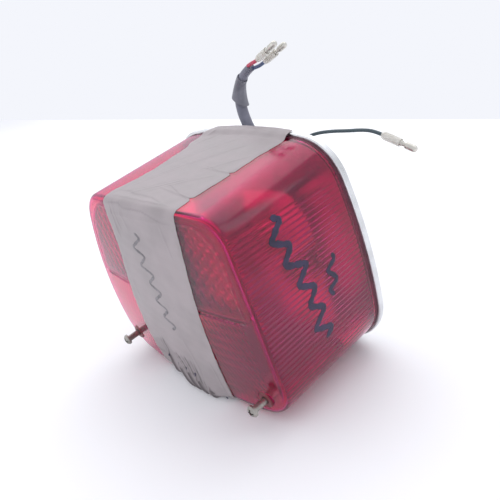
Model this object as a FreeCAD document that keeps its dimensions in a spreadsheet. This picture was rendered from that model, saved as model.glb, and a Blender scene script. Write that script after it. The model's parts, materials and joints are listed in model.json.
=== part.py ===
"""Motorcycle tail light: red lens on a die-cast base, two bayonet lamps, harness and mounting studs.

Frame, in millimetres: the origin is the centre of the three mounting studs, on the plane their pads bear on.
+Y points from the lamp towards the motorcycle, so the lens faces -Y. +Z is up.
"""
import FreeCAD
import Part
import Sketcher
import math
import os
from FreeCAD import Placement, Rotation, Vector

doc = FreeCAD.newDocument("tail_light")
sheet = doc.addObject("Spreadsheet::Sheet", "dims")

DIMENSIONS = {
    # lens outline at its rear edge, then at its nose: four large arcs and four corner arcs;
    # the sides are widest at side_place, the top arc is the lid and the bottom arc the sill
    "lens_half_wide": 78.1,
    "lens_side_radius": 289.0,
    "lens_side_place": -15.8,
    "lens_top": 69.3,
    "lens_lid_radius": 400.0,
    "lens_bottom": 66.0,
    "lens_top_radius": 27.5,
    "lens_low_radius": 33.7,
    "nose_half_wide": 81.2,
    "nose_side_radius": 277.0,
    "nose_side_place": -28.8,
    "nose_top": 60.9,
    "nose_lid_radius": 1000.0,
    "nose_bottom": 57.9,
    "nose_top_radius": 20.0,
    "nose_low_radius": 21.8,
    "sill_radius": 1200.0,
    "lens_rear": -17.3,
    "lens_apex": -104.0,
    "lens_wall": 2.5,
    "lens_edge_round": 3.5,
    "crown_radius_across": 580.0,
    "crown_radius_down": 404.0,
    "crown_place": -10.9,
    # reflex panel inside the upper half of the lens front
    "panel_half_wide": 65.0,
    "panel_low": 8.2,
    "panel_high": 53.5,
    "panel_front": -92.6,
    "panel_thick": 2.0,
    "panel_corner": 20.0,
    "backing_gap": 0.1,
    "backing_thick": 0.5,
    # tape over the lens and rim
    "tape_wide": 72.0,
    "tape_thick": 0.4,
    "tape_gap": 0.3,
    # lens screws
    "screw_x": 65.0,
    "screw_z": -44.0,
    "screw_radius": 2.0,
    "screw_length": 60.0,
    "screw_head_radius": 3.5,
    "screw_head_high": 2.6,
    "screw_seat": -108.2,
    "recess_deep": 1.6,
    "recess_wide": 1.0,
    "recess_long": 4.4,
    "boss_radius": 5.0,
    "boss_rear": -43.7,
    "boss_front": -97.7,
    "boss_bore": 2.45,
    "seal_seat": -98.0,
    "seal_front": -99.8,
    "seal_radius": 4.85,
    "seal_seat_radius": 5.05,
    # base casting
    "rim_grow": 1.8,
    "rim_front": -15.25,
    "rim_rear": -11.15,
    "rim_round": 1.0,
    "rim_ledge": 3.6,
    "base_inset": 1.6,
    "base_rear": -7.5,
    "base_round": 2.0,
    "floor_front": -10.5,
    "post_radius": 4.5,
    "post_front": -43.5,
    "post_bore": 2.1,
    "pad_radius": 9.0,
    "pad_front": -3.0,
    "stud_circle_radius": 40.0,
    "stud_radius": 3.0,
    "stud_root_radius": 4.2,
    "stud_root_front": -10.0,
    "stud_tip": 17.0,
    "stud_chamfer": 0.7,
    "pad_bore": 4.7,
    "gasket_front": -17.25,
    "gasket_grow": 0.1,
    "gasket_wide": 3.4,
    # inner reflector tray
    "tray_half_wide": 52.0,
    "tray_half_high": 40.0,
    "tray_corner": 14.0,
    "tray_front": -30.0,
    "tray_wall": 1.0,
    # lamp sockets and bulbs, each about its own axis
    "lamp_x": 32.0,
    "shell_radius": 8.5,
    "shell_bore": 7.7,
    "shell_front": -36.0,
    "shell_rear": -4.0,
    "shell_hole": 8.6,
    "flange_radius": 11.5,
    "flange_thick": 1.2,
    "window_front": -32.0,
    "window_rear": -25.6,
    "window_half": 4.4,
    "terminal_radius": 7.6,
    "terminal_front": -6.4,
    "terminal_rear": -4.6,
    "spring_radius": 5.4,
    "spring_bore": 4.2,
    "contact_radius": 7.4,
    "contact_front": -16.0,
    "contact_rear": -14.0,
    "contact_pip": 1.5,
    "contact_pip_x": 3.4,
    "contact_pip_high": 1.0,
    "cap_radius": 7.45,
    "cap_rear": -17.05,
    "cap_front": -38.0,
    "cap_wall": 0.6,
    "pin_radius": 1.0,
    "pin_reach": 9.0,
    "pin_place": -30.0,
    "glass_radius": 12.5,
    "glass_centre": -56.0,
    "glass_neck": 6.7,
    "glass_wall": 0.7,
    "stem_radius": 2.4,
    "post_wire": 0.45,
    "filament_half": 3.6,
    # harness boot, on the back of the base
    "boot_x": -12.0,
    "boot_z": 32.0,
    "boot_radius": 7.5,
    "boot_neck": 5.6,
    "boot_rear": 8.0,
    "hole_radius": 6.0,
    # cords
    "sheath_radius": 3.6,
    "wrap_radius": 4.6,
    "wrap_bore": 3.75,
    "lead_radius": 1.1,
    "earth_radius": 1.0,
    "pin_barrel": 1.5,
    "pin_tip": 1.8,
    "pin_long": 19.5,
    "sleeve_radius": 2.3,
    "sleeve_bore": 1.85,
    "sleeve_back": 3.0,
    "sleeve_long": 12.6,
    # earth screw and terminal
    "earth_x": 14.0,
    "earth_z": 42.0,
    "earth_screw_radius": 2.0,
    "earth_head_radius": 3.6,
    "terminal_ring": 4.2,
    "terminal_thick": 0.8,
}
for row, (alias, size) in enumerate(DIMENSIONS.items(), start=1):
    sheet.set(f"A{row}", alias)
    sheet.set(f"B{row}", str(size))
    sheet.setAlias(f"B{row}", alias)
doc.recompute()


def value(expression):
    """The number that a sheet expression gives."""
    result = sheet.evalExpression(str(expression))
    return float(getattr(result, "Value", result))


def dim(*aliases):
    """Sheet values as numbers, for geometry that takes no expressions."""
    found = [value(f"dims.{alias}") for alias in aliases]
    return found[0] if len(found) == 1 else found


# ---------------------------------------------------------------- sketch and body helpers

def new_body(label, place=("0", "0", "0")):
    body = doc.addObject("PartDesign::Body", label)
    body.Label = label
    for axis, expression in zip("xyz", place):
        body.setExpression(f"Placement.Base.{axis}", expression)
    return body


def sketch_on(body, name, role, offset="0"):
    """A sketch on one of the body's own origin planes, moved along that plane's normal."""
    sketch = body.newObject("Sketcher::SketchObject", name)
    plane = next(part for part in body.Origin.OriginFeatures if part.Role == role)
    sketch.AttachmentSupport = [(plane, "")]
    sketch.MapMode = "FlatFace"
    sketch.setExpression("AttachmentOffset.Base.z", offset)
    return sketch


def place_point(sketch, geometry, end, across, up):
    for kind, expression in (("DistanceX", across), ("DistanceY", up)):
        index = sketch.addConstraint(Sketcher.Constraint(kind, -1, 1, geometry, end, value(expression)))
        sketch.setExpression(f"Constraints[{index}]", expression)


def set_radius(sketch, geometry, expression):
    index = sketch.addConstraint(Sketcher.Constraint("Radius", geometry, value(expression)))
    sketch.setExpression(f"Constraints[{index}]", expression)


def draw_circle(sketch, radius, across="0", up="0"):
    centre = Vector(value(across), value(up), 0)
    geometry = sketch.addGeometry(Part.Circle(centre, Vector(0, 0, 1), value(radius)))
    set_radius(sketch, geometry, radius)
    place_point(sketch, geometry, 3, across, up)


def draw_polygon(sketch, corners):
    """A closed run of straight lines through corners given as pairs of expressions."""
    points = [Vector(value(across), value(up), 0) for across, up in corners]
    first = sketch.GeometryCount
    count = len(points)
    for index in range(count):
        sketch.addGeometry(Part.LineSegment(points[index], points[(index + 1) % count]))
    for index in range(count):
        following = first + (index + 1) % count
        sketch.addConstraint(Sketcher.Constraint("Coincident", first + index, 2, following, 1))
    for index, (across, up) in enumerate(corners):
        place_point(sketch, first + index, 1, across, up)


def draw_lens_outline(sketch, grow, nose=False):
    """Four large arcs, two of them sides, joined by four tangent corner arcs, all grown alike."""
    stem = "nose" if nose else "lens"
    across = f"dims.{stem}_half_wide - dims.{stem}_side_radius"
    place = f"dims.{stem}_side_place"
    arms = [
        (f"dims.{stem}_side_radius + {grow}", across, place),
        (f"dims.{stem}_lid_radius + {grow}", "0", f"dims.{stem}_top - dims.{stem}_lid_radius"),
        (f"dims.{stem}_side_radius + {grow}", f"-({across})", place),
        (f"dims.sill_radius + {grow}", "0", f"dims.sill_radius - dims.{stem}_bottom"),
    ]
    rounds = [f"dims.{stem}_top_radius + {grow}"] * 2 + [f"dims.{stem}_low_radius + {grow}"] * 2
    sides = [(Vector(value(x), value(z), 0), value(radius)) for radius, x, z in arms]
    corners = []
    for turn, round_radius in enumerate(rounds):
        size = value(round_radius)
        quadrant = Vector((1, -1, -1, 1)[turn], (1, 1, -1, -1)[turn], 0)
        start, end = sides[turn], sides[(turn + 1) % 4]
        reach_start, reach_end = start[1] - size, end[1] - size
        apart = end[0] - start[0]
        along = (reach_start ** 2 - reach_end ** 2 + apart.Length ** 2) / (2 * apart.Length)
        aside = math.sqrt(reach_start ** 2 - along ** 2)
        unit = apart / apart.Length
        normal = Vector(-unit.y, unit.x, 0)
        options = [start[0] + unit * along + normal * (aside * sign) for sign in (1, -1)]
        corners.append((max(options, key=lambda point: point.dot(quadrant)), size))

    def angle(centre, point):
        return math.atan2(point.y - centre.y, point.x - centre.x)

    arcs = []
    for turn in range(4):
        centre, radius = sides[turn]
        before, (corner, size) = corners[turn - 1][0], corners[turn]
        arcs.append((centre, radius, angle(centre, before), angle(centre, corner)))
        following = sides[(turn + 1) % 4][0]
        arcs.append((corner, size, angle(centre, corner), angle(following, corner)))
    first = sketch.GeometryCount
    for centre, radius, begin, finish in arcs:
        while finish < begin:
            finish += 2 * math.pi
        sketch.addGeometry(Part.ArcOfCircle(Part.Circle(centre, Vector(0, 0, 1), radius), begin, finish))
    for index in range(8):
        sketch.addConstraint(Sketcher.Constraint("Tangent", first + index, 2, first + (index + 1) % 8, 1))
    for turn, (radius, x, z) in enumerate(arms):
        set_radius(sketch, first + 2 * turn, radius)
        place_point(sketch, first + 2 * turn, 3, x, z)
    for turn, round_radius in enumerate(rounds):
        set_radius(sketch, first + 2 * turn + 1, round_radius)


def draw_round_rectangle(sketch, half_wide, half_high, corner, up="0"):
    """A rectangle with rounded corners, centred on the plane's vertical axis."""
    wide, high, radius, shift = value(half_wide), value(half_high), value(corner), value(up)
    first = sketch.GeometryCount
    quadrants = [(1, 1), (-1, 1), (-1, -1), (1, -1)]
    centres = [Vector(x * (wide - radius), z * (high - radius) + shift, 0) for x, z in quadrants]
    for turn, centre in enumerate(centres):
        begin = turn * math.pi / 2
        arc = Part.ArcOfCircle(Part.Circle(centre, Vector(0, 0, 1), radius), begin, begin + math.pi / 2)
        sketch.addGeometry(arc)
        following = centres[(turn + 1) % 4]
        reach = Vector(math.cos(begin + math.pi / 2), math.sin(begin + math.pi / 2), 0) * radius
        sketch.addGeometry(Part.LineSegment(centre + reach, following + reach))
    for index in range(8):
        sketch.addConstraint(Sketcher.Constraint("Tangent", first + index, 2, first + (index + 1) % 8, 1))
    for turn, (x, z) in enumerate(quadrants):
        set_radius(sketch, first + 2 * turn, corner)
        place_point(sketch, first + 2 * turn, 3, f"({x}) * (({half_wide}) - ({corner}))",
                    f"({z}) * (({half_high}) - ({corner})) + ({up})")


def add_feature(body, kind, sketch, **settings):
    """A sketch-based feature; settings given as text are expressions."""
    feature = body.newObject(f"PartDesign::{kind}", f"{body.Name}_{kind}")
    feature.Profile = sketch
    for name, setting in settings.items():
        if isinstance(setting, str):
            feature.setExpression(name, setting)
        else:
            setattr(feature, name, setting)
    return feature


def pad(body, name, depth, start, draw):
    """Material from the plane y = start, towards -Y."""
    sketch = sketch_on(body, name, "XZ_Plane", f"-({start})")
    draw(sketch)
    return add_feature(body, "Pad", sketch, Length=depth)


def cut(body, name, depth, start, draw):
    """A pocket from the plane y = start, towards -Y."""
    sketch = sketch_on(body, name, "XZ_Plane", f"-({start})")
    draw(sketch)
    return add_feature(body, "Pocket", sketch, Length=depth, Reversed=True)


def revolved(label, corners, place=("0", "0", "0")):
    """A body turned about its own Y axis from corners given as (radius, y)."""
    body = new_body(label, place)
    sketch = sketch_on(body, f"{label}_profile", "XY_Plane")
    draw_polygon(sketch, corners)
    add_feature(body, "Revolution", sketch, ReferenceAxis=(sketch, ["V_Axis"]), Angle=360.0)
    return body


def edges_of(shape, wanted):
    return [f"Edge{index}" for index, edge in enumerate(shape.Edges, start=1) if wanted(edge)]


def add_fillet(body, base, edges, radius):
    fillet = body.newObject("PartDesign::Fillet", f"{body.Name}_fillet")
    fillet.Base = (base, edges)
    fillet.setExpression("Radius", radius)
    return fillet


def group(label, bodies):
    """Identical pieces kept as separate solids of one node."""
    compound = doc.addObject("Part::Compound", label)
    compound.Label = label
    compound.Links = bodies
    return compound


# ---------------------------------------------------------------- lens

def make_lens_form(name, shrink, edge_round):
    """Tapered, crowned block: the outside of the lens, or its inside when shrunk by the wall."""
    body = new_body(name)
    rear = sketch_on(body, f"{name}_rear_outline", "XZ_Plane", "-dims.lens_rear")
    draw_lens_outline(rear, f"(-{shrink})")
    nose = sketch_on(body, f"{name}_nose_outline", "XZ_Plane", "1 - dims.lens_apex")
    draw_lens_outline(nose, f"(-{shrink})", nose=True)
    add_feature(body, "AdditiveLoft", rear, Sections=[nose], Ruled=True)

    # the front is crowned by turning an arc of crown_radius_down about an upright axis behind the lamp
    crown = sketch_on(body, f"{name}_crown", "YZ_Plane")
    across, down = dim("crown_radius_across", "crown_radius_down")
    apex = dim("lens_apex") + value(shrink)
    place = dim("crown_place")
    reach = dim("lens_top") * 1.3
    half_angle = math.asin(reach / down)
    rim = apex + down - down * math.cos(half_angle)
    front = dim("lens_apex") - 10
    circle = Part.Circle(Vector(apex + down, place, 0), Vector(0, 0, 1), down)
    crown.addGeometry(Part.ArcOfCircle(circle, math.pi - half_angle, math.pi + half_angle))
    low, high = place - reach, place + reach
    corners = [Vector(rim, low, 0), Vector(front, low, 0), Vector(front, high, 0), Vector(rim, high, 0)]
    for start, end in zip(corners, corners[1:]):
        crown.addGeometry(Part.LineSegment(start, end))
    for index in range(4):
        crown.addConstraint(Sketcher.Constraint("Coincident", index, 2, (index + 1) % 4, 1))
    set_radius(crown, 0, "dims.crown_radius_down")
    place_point(crown, 0, 3, f"dims.lens_apex + {shrink} + dims.crown_radius_down", "dims.crown_place")
    axis = Part.LineSegment(Vector(apex + across, -reach, 0), Vector(apex + across, reach, 0))
    crown.addGeometry(axis, True)
    doc.recompute()
    crowned = add_feature(body, "Groove", crown, ReferenceAxis=(crown, ["Axis0"]), Angle=60.0, Midplane=True)
    doc.recompute()

    front_face = min(crowned.Shape.Faces, key=lambda face: face.CenterOfMass.y)
    ridge = edges_of(crowned.Shape, lambda edge: any(edge.isSame(other) for other in front_face.Edges))
    body.Tip = add_fillet(body, crowned, ridge, edge_round)
    doc.recompute()
    return body


def rod(name, radius, rear, front, across, up):
    """A cylinder along Y from its rear end to its front end."""
    cylinder = doc.addObject("Part::Cylinder", name)
    cylinder.setExpression("Radius", radius)
    cylinder.setExpression("Height", f"{rear} - ({front})")
    cylinder.Placement = Placement(Vector(), Rotation(Vector(1, 0, 0), 90))
    for axis, expression in zip("xyz", (across, rear, up)):
        cylinder.setExpression(f"Placement.Base.{axis}", expression)
    return cylinder


def make_lens_shell():
    """Crowned, slightly tapered cover with one open end, two screw tubes and two seal seats."""
    outside = make_lens_form("lens_outside", "0", "dims.lens_edge_round")
    inside = make_lens_form("lens_inside", "dims.lens_wall", "dims.lens_edge_round - dims.lens_wall")
    hollow = doc.addObject("Part::Cut", "lens_hollow")
    hollow.Base = outside
    hollow.Tool = inside
    tubes = [hollow]
    bores = []
    outside_front = "dims.lens_apex - 5"
    for index, side in enumerate(("dims.screw_x", "-dims.screw_x")):
        place = (side, "dims.screw_z")
        tube, bore, seat = (f"{name}_{index}" for name in ("lens_tube", "lens_bore", "seal_seat"))
        tubes.append(rod(tube, "dims.boss_radius", "dims.boss_rear", "dims.boss_front", *place))
        bores.append(rod(bore, "dims.boss_bore", "dims.boss_rear + 1", outside_front, *place))
        bores.append(rod(seat, "dims.seal_seat_radius", "dims.seal_seat", outside_front, *place))
    solid = doc.addObject("Part::MultiFuse", "lens_solid")
    solid.Shapes = tubes
    drill = doc.addObject("Part::MultiFuse", "lens_drill")
    drill.Shapes = bores
    shell = doc.addObject("Part::Cut", "lens_shell")
    shell.Label = "lens_shell"
    shell.Base = solid
    shell.Tool = drill
    return shell


def make_panel(label, front, thick):
    body = new_body(label)

    def draw(sketch):
        draw_round_rectangle(sketch, "dims.panel_half_wide", "(dims.panel_high - dims.panel_low) / 2",
                             "dims.panel_corner", "(dims.panel_high + dims.panel_low) / 2")

    pad(body, f"{label}_outline", thick, f"{front} + {thick}", draw)
    return body


def make_tape_band():
    """One strip from the back of the rim over the top of the lens, down its front and under it."""
    body = new_body("tape_band")
    sketch = sketch_on(body, "tape_profile", "YZ_Plane")
    gap = "dims.tape_gap"

    def reach(stem, y):
        share = f"({y} - dims.lens_apex + 1) / (dims.lens_rear - dims.lens_apex + 1)"
        return f"dims.nose_{stem} + (dims.lens_{stem} - dims.nose_{stem}) * {share} + {gap}"

    def top(y):
        return reach("top", y)

    def bottom(y):
        return f"-({reach('bottom', y)})"

    def front(z):
        return f"dims.lens_apex + ({z} - dims.crown_place) ^ 2 / (2 * dims.crown_radius_down) - 1.5 * {gap}"

    rim_top = f"dims.lens_top + dims.rim_grow + {gap}"
    rim_bottom = f"-(dims.lens_bottom + dims.rim_grow + {gap})"
    ramp = "(dims.rim_front - 5)"
    # inner corners as (y, z), each with the way out of the lens as (y, z)
    run = [
        ("dims.rim_rear", rim_top, 0, 1),
        ("dims.rim_front - 1", rim_top, -0.3, 1),
        (ramp, top(ramp), -0.2, 1),
        ("dims.lens_apex + 9.5", top("(dims.lens_apex + 9.5)"), -0.2, 1),
        ("dims.lens_apex + 6.3", "dims.nose_top", -0.7, 0.75),
        (front(57.5), "57.5", -1, 0.35),
        (front(34), "34", -1, 0.1),
        (front(12), "12", -1, 0.05),
        (front(-11), "-11", -1, 0),
        (front(-34), "-34", -1, -0.1),
        (front(-54), "-54", -1, -0.3),
        ("dims.lens_apex + 2.4", "-dims.nose_bottom", -0.75, -0.7),
        ("dims.lens_apex + 5.6", bottom("(dims.lens_apex + 5.6)"), -0.2, -1),
        (ramp, bottom(ramp), -0.2, -1),
        ("dims.rim_front - 1", rim_bottom, -0.3, -1),
        ("dims.rim_rear", rim_bottom, 0, -1),
    ]
    inner = [(y, z) for y, z, _, _ in run]
    outer = [(f"{y} + ({across}) * dims.tape_thick", f"{z} + ({up}) * dims.tape_thick")
             for y, z, across, up in run]
    draw_polygon(sketch, inner + outer[::-1])
    add_feature(body, "Pad", sketch, Length="dims.tape_wide", Midplane=True)
    return body


def make_screw_seal(side, place_x):
    seat, front = "dims.seal_seat - 0.02", "dims.seal_front"
    bore, rim = "dims.boss_bore", "dims.seal_radius"
    corners = [(bore, seat), (rim, seat), (rim, f"{front} + 0.5"), (f"{rim} - 0.5", front), (bore, front)]
    return revolved(f"screw_seal_{side}", corners, (place_x, "0", "dims.screw_z"))


def make_lens_screw(side, place_x):
    """Long pan-head screw with a cross recess, its head standing off the lens."""
    seat = "dims.screw_seat"
    head = f"{seat} - dims.screw_head_high"
    tip = f"{seat} + dims.screw_length"
    corners = [
        ("0", tip), ("dims.screw_radius - 0.6", tip), ("dims.screw_radius", f"{tip} - 0.8"),
        ("dims.screw_radius", seat), ("dims.screw_head_radius", seat),
        ("dims.screw_head_radius", f"{seat} - 1.1"), ("dims.screw_head_radius - 0.9", f"{head} + 0.4"),
        ("dims.screw_head_radius * 0.4", head), ("0", head),
    ]
    body = revolved(f"lens_screw_{side}", corners, (place_x, "0", "dims.screw_z"))
    half_long, half_wide = "dims.recess_long / 2", "dims.recess_wide / 2"
    for name, half_x, half_z in (("a", half_long, half_wide), ("b", half_wide, half_long)):
        left, down = f"-({half_x})", f"-({half_z})"
        box = [(half_x, half_z), (left, half_z), (left, down), (half_x, down)]
        recess = cut(body, f"recess_{side}_{name}", "dims.recess_deep + 2", f"{head} + dims.recess_deep",
                     lambda sketch, corners=box: draw_polygon(sketch, corners))
        body.Tip = recess
    return body


# ---------------------------------------------------------------- base

def stud_places():
    """The studs stand at 30, 150 and 270 degrees on their circle."""
    for degrees in (30, 150, 270):
        yield tuple(f"dims.stud_circle_radius * {ratio}({degrees} deg)" for ratio in ("cos", "sin"))


def draw_lamp_holes(sketch):
    """The two holes that the lamp sockets stand in."""
    for x in ("dims.lamp_x", "-dims.lamp_x"):
        draw_circle(sketch, "dims.shell_hole", x)


def make_base_housing():
    """Shallow cast tray with a seating ledge, two screw posts and three stud bosses."""
    body = new_body("base_housing")
    rim = pad(body, "base_rim", "dims.rim_rear - dims.rim_front", "dims.rim_rear",
              lambda sketch: draw_lens_outline(sketch, "dims.rim_grow"))
    doc.recompute()
    add_fillet(body, rim, edges_of(rim.Shape, lambda edge: edge.BoundBox.YLength < 0.01), "dims.rim_round")
    back = pad(body, "base_back", "dims.base_rear - dims.rim_front - 1", "dims.base_rear",
               lambda sketch: draw_lens_outline(sketch, "(-dims.base_inset)"))
    doc.recompute()
    rear = dim("base_rear")
    rear_edges = edges_of(back.Shape, lambda edge: abs(edge.BoundBox.Center.y - rear) < 0.01)
    add_fillet(body, back, rear_edges, "dims.base_round")
    cut(body, "base_tray", "20", "dims.floor_front",
        lambda sketch: draw_lens_outline(sketch, "(-dims.rim_ledge)"))
    sides = ("dims.screw_x", "-dims.screw_x")
    pad(body, "base_posts", "dims.floor_front - dims.post_front + 1", "dims.floor_front + 1",
        lambda sketch: [draw_circle(sketch, "dims.post_radius", side, "dims.screw_z") for side in sides])
    pad(body, "base_bosses", "dims.pad_front - dims.floor_front - 1", "dims.pad_front",
        lambda sketch: [draw_circle(sketch, "dims.pad_radius", x, z) for x, z in stud_places()])
    cut(body, "base_post_bores", "60", "0",
        lambda sketch: [draw_circle(sketch, "dims.post_bore", side, "dims.screw_z") for side in sides])
    cut(body, "base_stud_sockets", "dims.pad_front - dims.stud_root_front", "dims.pad_front",
        lambda sketch: [draw_circle(sketch, "dims.stud_root_radius", x, z) for x, z in stud_places()])
    cut(body, "base_lamp_holes", "20", "0", draw_lamp_holes)
    cut(body, "base_harness_hole", "20", "0",
        lambda sketch: draw_circle(sketch, "dims.hole_radius", "dims.boot_x", "dims.boot_z"))
    tapped = cut(body, "base_earth_hole", "20", "0",
                 lambda sketch: draw_circle(sketch, "dims.earth_screw_radius + 0.05",
                                            "dims.earth_x", "dims.earth_z"))
    body.Tip = tapped
    return body


def make_lens_gasket():
    body = new_body("lens_gasket")
    pad(body, "gasket_outline", "dims.rim_front - dims.gasket_front", "dims.rim_front",
        lambda sketch: draw_lens_outline(sketch, "dims.gasket_grow"))
    opening = cut(body, "gasket_opening", "10", "dims.rim_front",
                  lambda sketch: draw_lens_outline(sketch, "(-dims.gasket_wide)"))
    body.Tip = opening
    return body


def make_inner_reflector():
    """Pressed tray on the base floor, open to the front, with a hole for each lamp socket."""
    body = new_body("inner_reflector")
    rear = "dims.floor_front"
    pad(body, "tray_block", f"{rear} - dims.tray_front", rear,
        lambda sketch: draw_round_rectangle(sketch, "dims.tray_half_wide", "dims.tray_half_high",
                                            "dims.tray_corner"))
    cut(body, "tray_hollow", "60", f"{rear} - dims.tray_wall",
        lambda sketch: draw_round_rectangle(sketch, "dims.tray_half_wide - dims.tray_wall",
                                            "dims.tray_half_high - dims.tray_wall",
                                            "dims.tray_corner - dims.tray_wall"))
    body.Tip = cut(body, "tray_holes", "20", "0", draw_lamp_holes)
    return body


def make_studs_and_pads():
    tip = "dims.stud_tip"
    studs = []
    pads = []
    for index, (x, z) in enumerate(stud_places(), start=1):
        studs.append(revolved(f"stud_{index}", [
            ("0", "dims.stud_root_front"), ("dims.stud_root_radius", "dims.stud_root_front"),
            ("dims.stud_root_radius", "dims.pad_front"), ("dims.stud_radius", "dims.pad_front"),
            ("dims.stud_radius", f"{tip} - dims.stud_chamfer"), ("dims.stud_radius - dims.stud_chamfer", tip),
            ("0", tip),
        ], (x, "0", z)))
        pads.append(revolved(f"pad_{index}", [
            ("dims.pad_bore", "dims.pad_front"), ("dims.pad_radius", "dims.pad_front"),
            ("dims.pad_radius", "0"), ("dims.pad_bore", "0"),
        ], (x, "0", z)))
    return [group("mount_studs", studs), group("mount_pads", pads)]


# ---------------------------------------------------------------- lamps

def make_lamp(side, place_x):
    """Socket shell, spring, terminal disc and contact disc, then the bulb, all about one axis."""
    place = (place_x, "0", "0")
    outer, bore = "dims.shell_radius", "dims.shell_bore"
    seat = "dims.floor_front - dims.tray_wall"
    flange = f"{seat} - dims.flange_thick"
    shell = revolved(f"socket_shell_{side}", [
        (bore, "dims.shell_front"), (outer, "dims.shell_front"), (outer, flange),
        ("dims.flange_radius", flange), ("dims.flange_radius", seat), (outer, seat),
        (outer, "dims.shell_rear"), (bore, "dims.shell_rear"),
    ], place)
    window = sketch_on(shell, f"bayonet_window_{side}", "YZ_Plane")
    front, rear, half = "dims.window_front", "dims.window_rear", "dims.window_half"
    draw_polygon(window, [(front, f"-{half}"), (rear, f"-{half}"), (rear, half), (front, half)])
    shell.Tip = add_feature(shell, "Pocket", window, Length="4 * dims.shell_radius", Midplane=True)

    spring = revolved(f"socket_spring_{side}", [
        ("dims.spring_bore", "dims.contact_rear"), ("dims.spring_radius", "dims.contact_rear"),
        ("dims.spring_radius", "dims.terminal_front"), ("dims.spring_bore", "dims.terminal_front"),
    ], place)
    terminal = revolved(f"terminal_disc_{side}", [
        ("0", "dims.terminal_front"), ("dims.terminal_radius", "dims.terminal_front"),
        ("dims.terminal_radius", "dims.terminal_rear"), ("0", "dims.terminal_rear"),
    ], place)
    contact = revolved(f"contact_disc_{side}", [
        ("0", "dims.contact_front"), ("dims.contact_radius", "dims.contact_front"),
        ("dims.contact_radius", "dims.contact_rear"), ("0", "dims.contact_rear"),
    ], place)
    contact.Tip = pad(contact, f"contact_pips_{side}", "dims.contact_pip_high", "dims.contact_front",
                      lambda sketch: [draw_circle(sketch, "dims.contact_pip", x)
                                      for x in ("dims.contact_pip_x", "-dims.contact_pip_x")])

    cap, wall = "dims.cap_radius", "dims.cap_wall"
    bulb_cap = revolved(f"bulb_cap_{side}", [
        ("0", "dims.cap_rear"), (f"{cap} - 1", "dims.cap_rear"), (cap, "dims.cap_rear - 1"),
        (cap, "dims.cap_front"), (f"{cap} - {wall}", "dims.cap_front"),
        (f"{cap} - {wall}", "dims.cap_rear - 3"), ("0", "dims.cap_rear - 3"),
    ], place)
    for pin_side, sign in (("a", ""), ("b", "-")):
        root = f"{sign}(dims.cap_radius - 0.4)"
        pin = sketch_on(bulb_cap, f"bayonet_pin_{side}_{pin_side}", "YZ_Plane", root)
        draw_circle(pin, "dims.pin_radius", "dims.pin_place", "0")
        length = "dims.pin_reach - dims.cap_radius + 0.4"
        bulb_cap.Tip = add_feature(bulb_cap, "Pad", pin, Length=length, Reversed=(sign == "-"))

    glass = make_bulb_glass(side, place)
    filament = make_filament(side, place)
    return [shell, spring, terminal, contact, bulb_cap, glass, filament]


def make_bulb_glass(side, place):
    """Blown envelope: a ball on a straight neck that stands in the cap, open at the neck's end."""
    body = new_body(f"bulb_glass_{side}", place)
    sketch = sketch_on(body, f"bulb_glass_profile_{side}", "XY_Plane")
    ball, centre, neck, wall = dim("glass_radius", "glass_centre", "glass_neck", "glass_wall")
    mouth = dim("cap_front") + 4.0
    middle = Vector(0, centre, 0)
    ends = []
    for shrink, radius_text in ((0.0, "dims.glass_radius"), (wall, "dims.glass_radius - dims.glass_wall")):
        radius, tube = ball - shrink, neck - shrink
        join = math.asin(tube / radius)
        circle = Part.Circle(middle, Vector(0, 0, 1), radius)
        arc = sketch.addGeometry(Part.ArcOfCircle(circle, -math.pi / 2, math.pi / 2 - join))
        set_radius(sketch, arc, radius_text)
        place_point(sketch, arc, 3, "0", "dims.glass_centre")
        start = Vector(tube, centre + radius * math.cos(join), 0)
        line = sketch.addGeometry(Part.LineSegment(start, Vector(tube, mouth, 0)))
        sketch.addConstraint(Sketcher.Constraint("Coincident", arc, 2, line, 1))
        ends.append((arc, line, radius, tube))
    outer_arc, outer_line, outer_radius, outer_tube = ends[0]
    inner_arc, inner_line, inner_radius, inner_tube = ends[1]
    lip = sketch.addGeometry(Part.LineSegment(Vector(outer_tube, mouth, 0), Vector(inner_tube, mouth, 0)))
    inner_tip, outer_tip = Vector(0, centre - inner_radius, 0), Vector(0, centre - outer_radius, 0)
    tip = sketch.addGeometry(Part.LineSegment(inner_tip, outer_tip))
    sketch.addConstraint(Sketcher.Constraint("Coincident", outer_line, 2, lip, 1))
    sketch.addConstraint(Sketcher.Constraint("Coincident", lip, 2, inner_line, 2))
    sketch.addConstraint(Sketcher.Constraint("Coincident", inner_arc, 1, tip, 1))
    sketch.addConstraint(Sketcher.Constraint("Coincident", tip, 2, outer_arc, 1))
    place_point(sketch, outer_line, 2, "dims.glass_neck", "dims.cap_front + 4")
    place_point(sketch, inner_line, 2, "dims.glass_neck - dims.glass_wall", "dims.cap_front + 4")
    sketch.addConstraint(Sketcher.Constraint("Vertical", outer_line))
    sketch.addConstraint(Sketcher.Constraint("Vertical", inner_line))
    add_feature(body, "Revolution", sketch, ReferenceAxis=(sketch, ["V_Axis"]), Angle=360.0)
    return body


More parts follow.
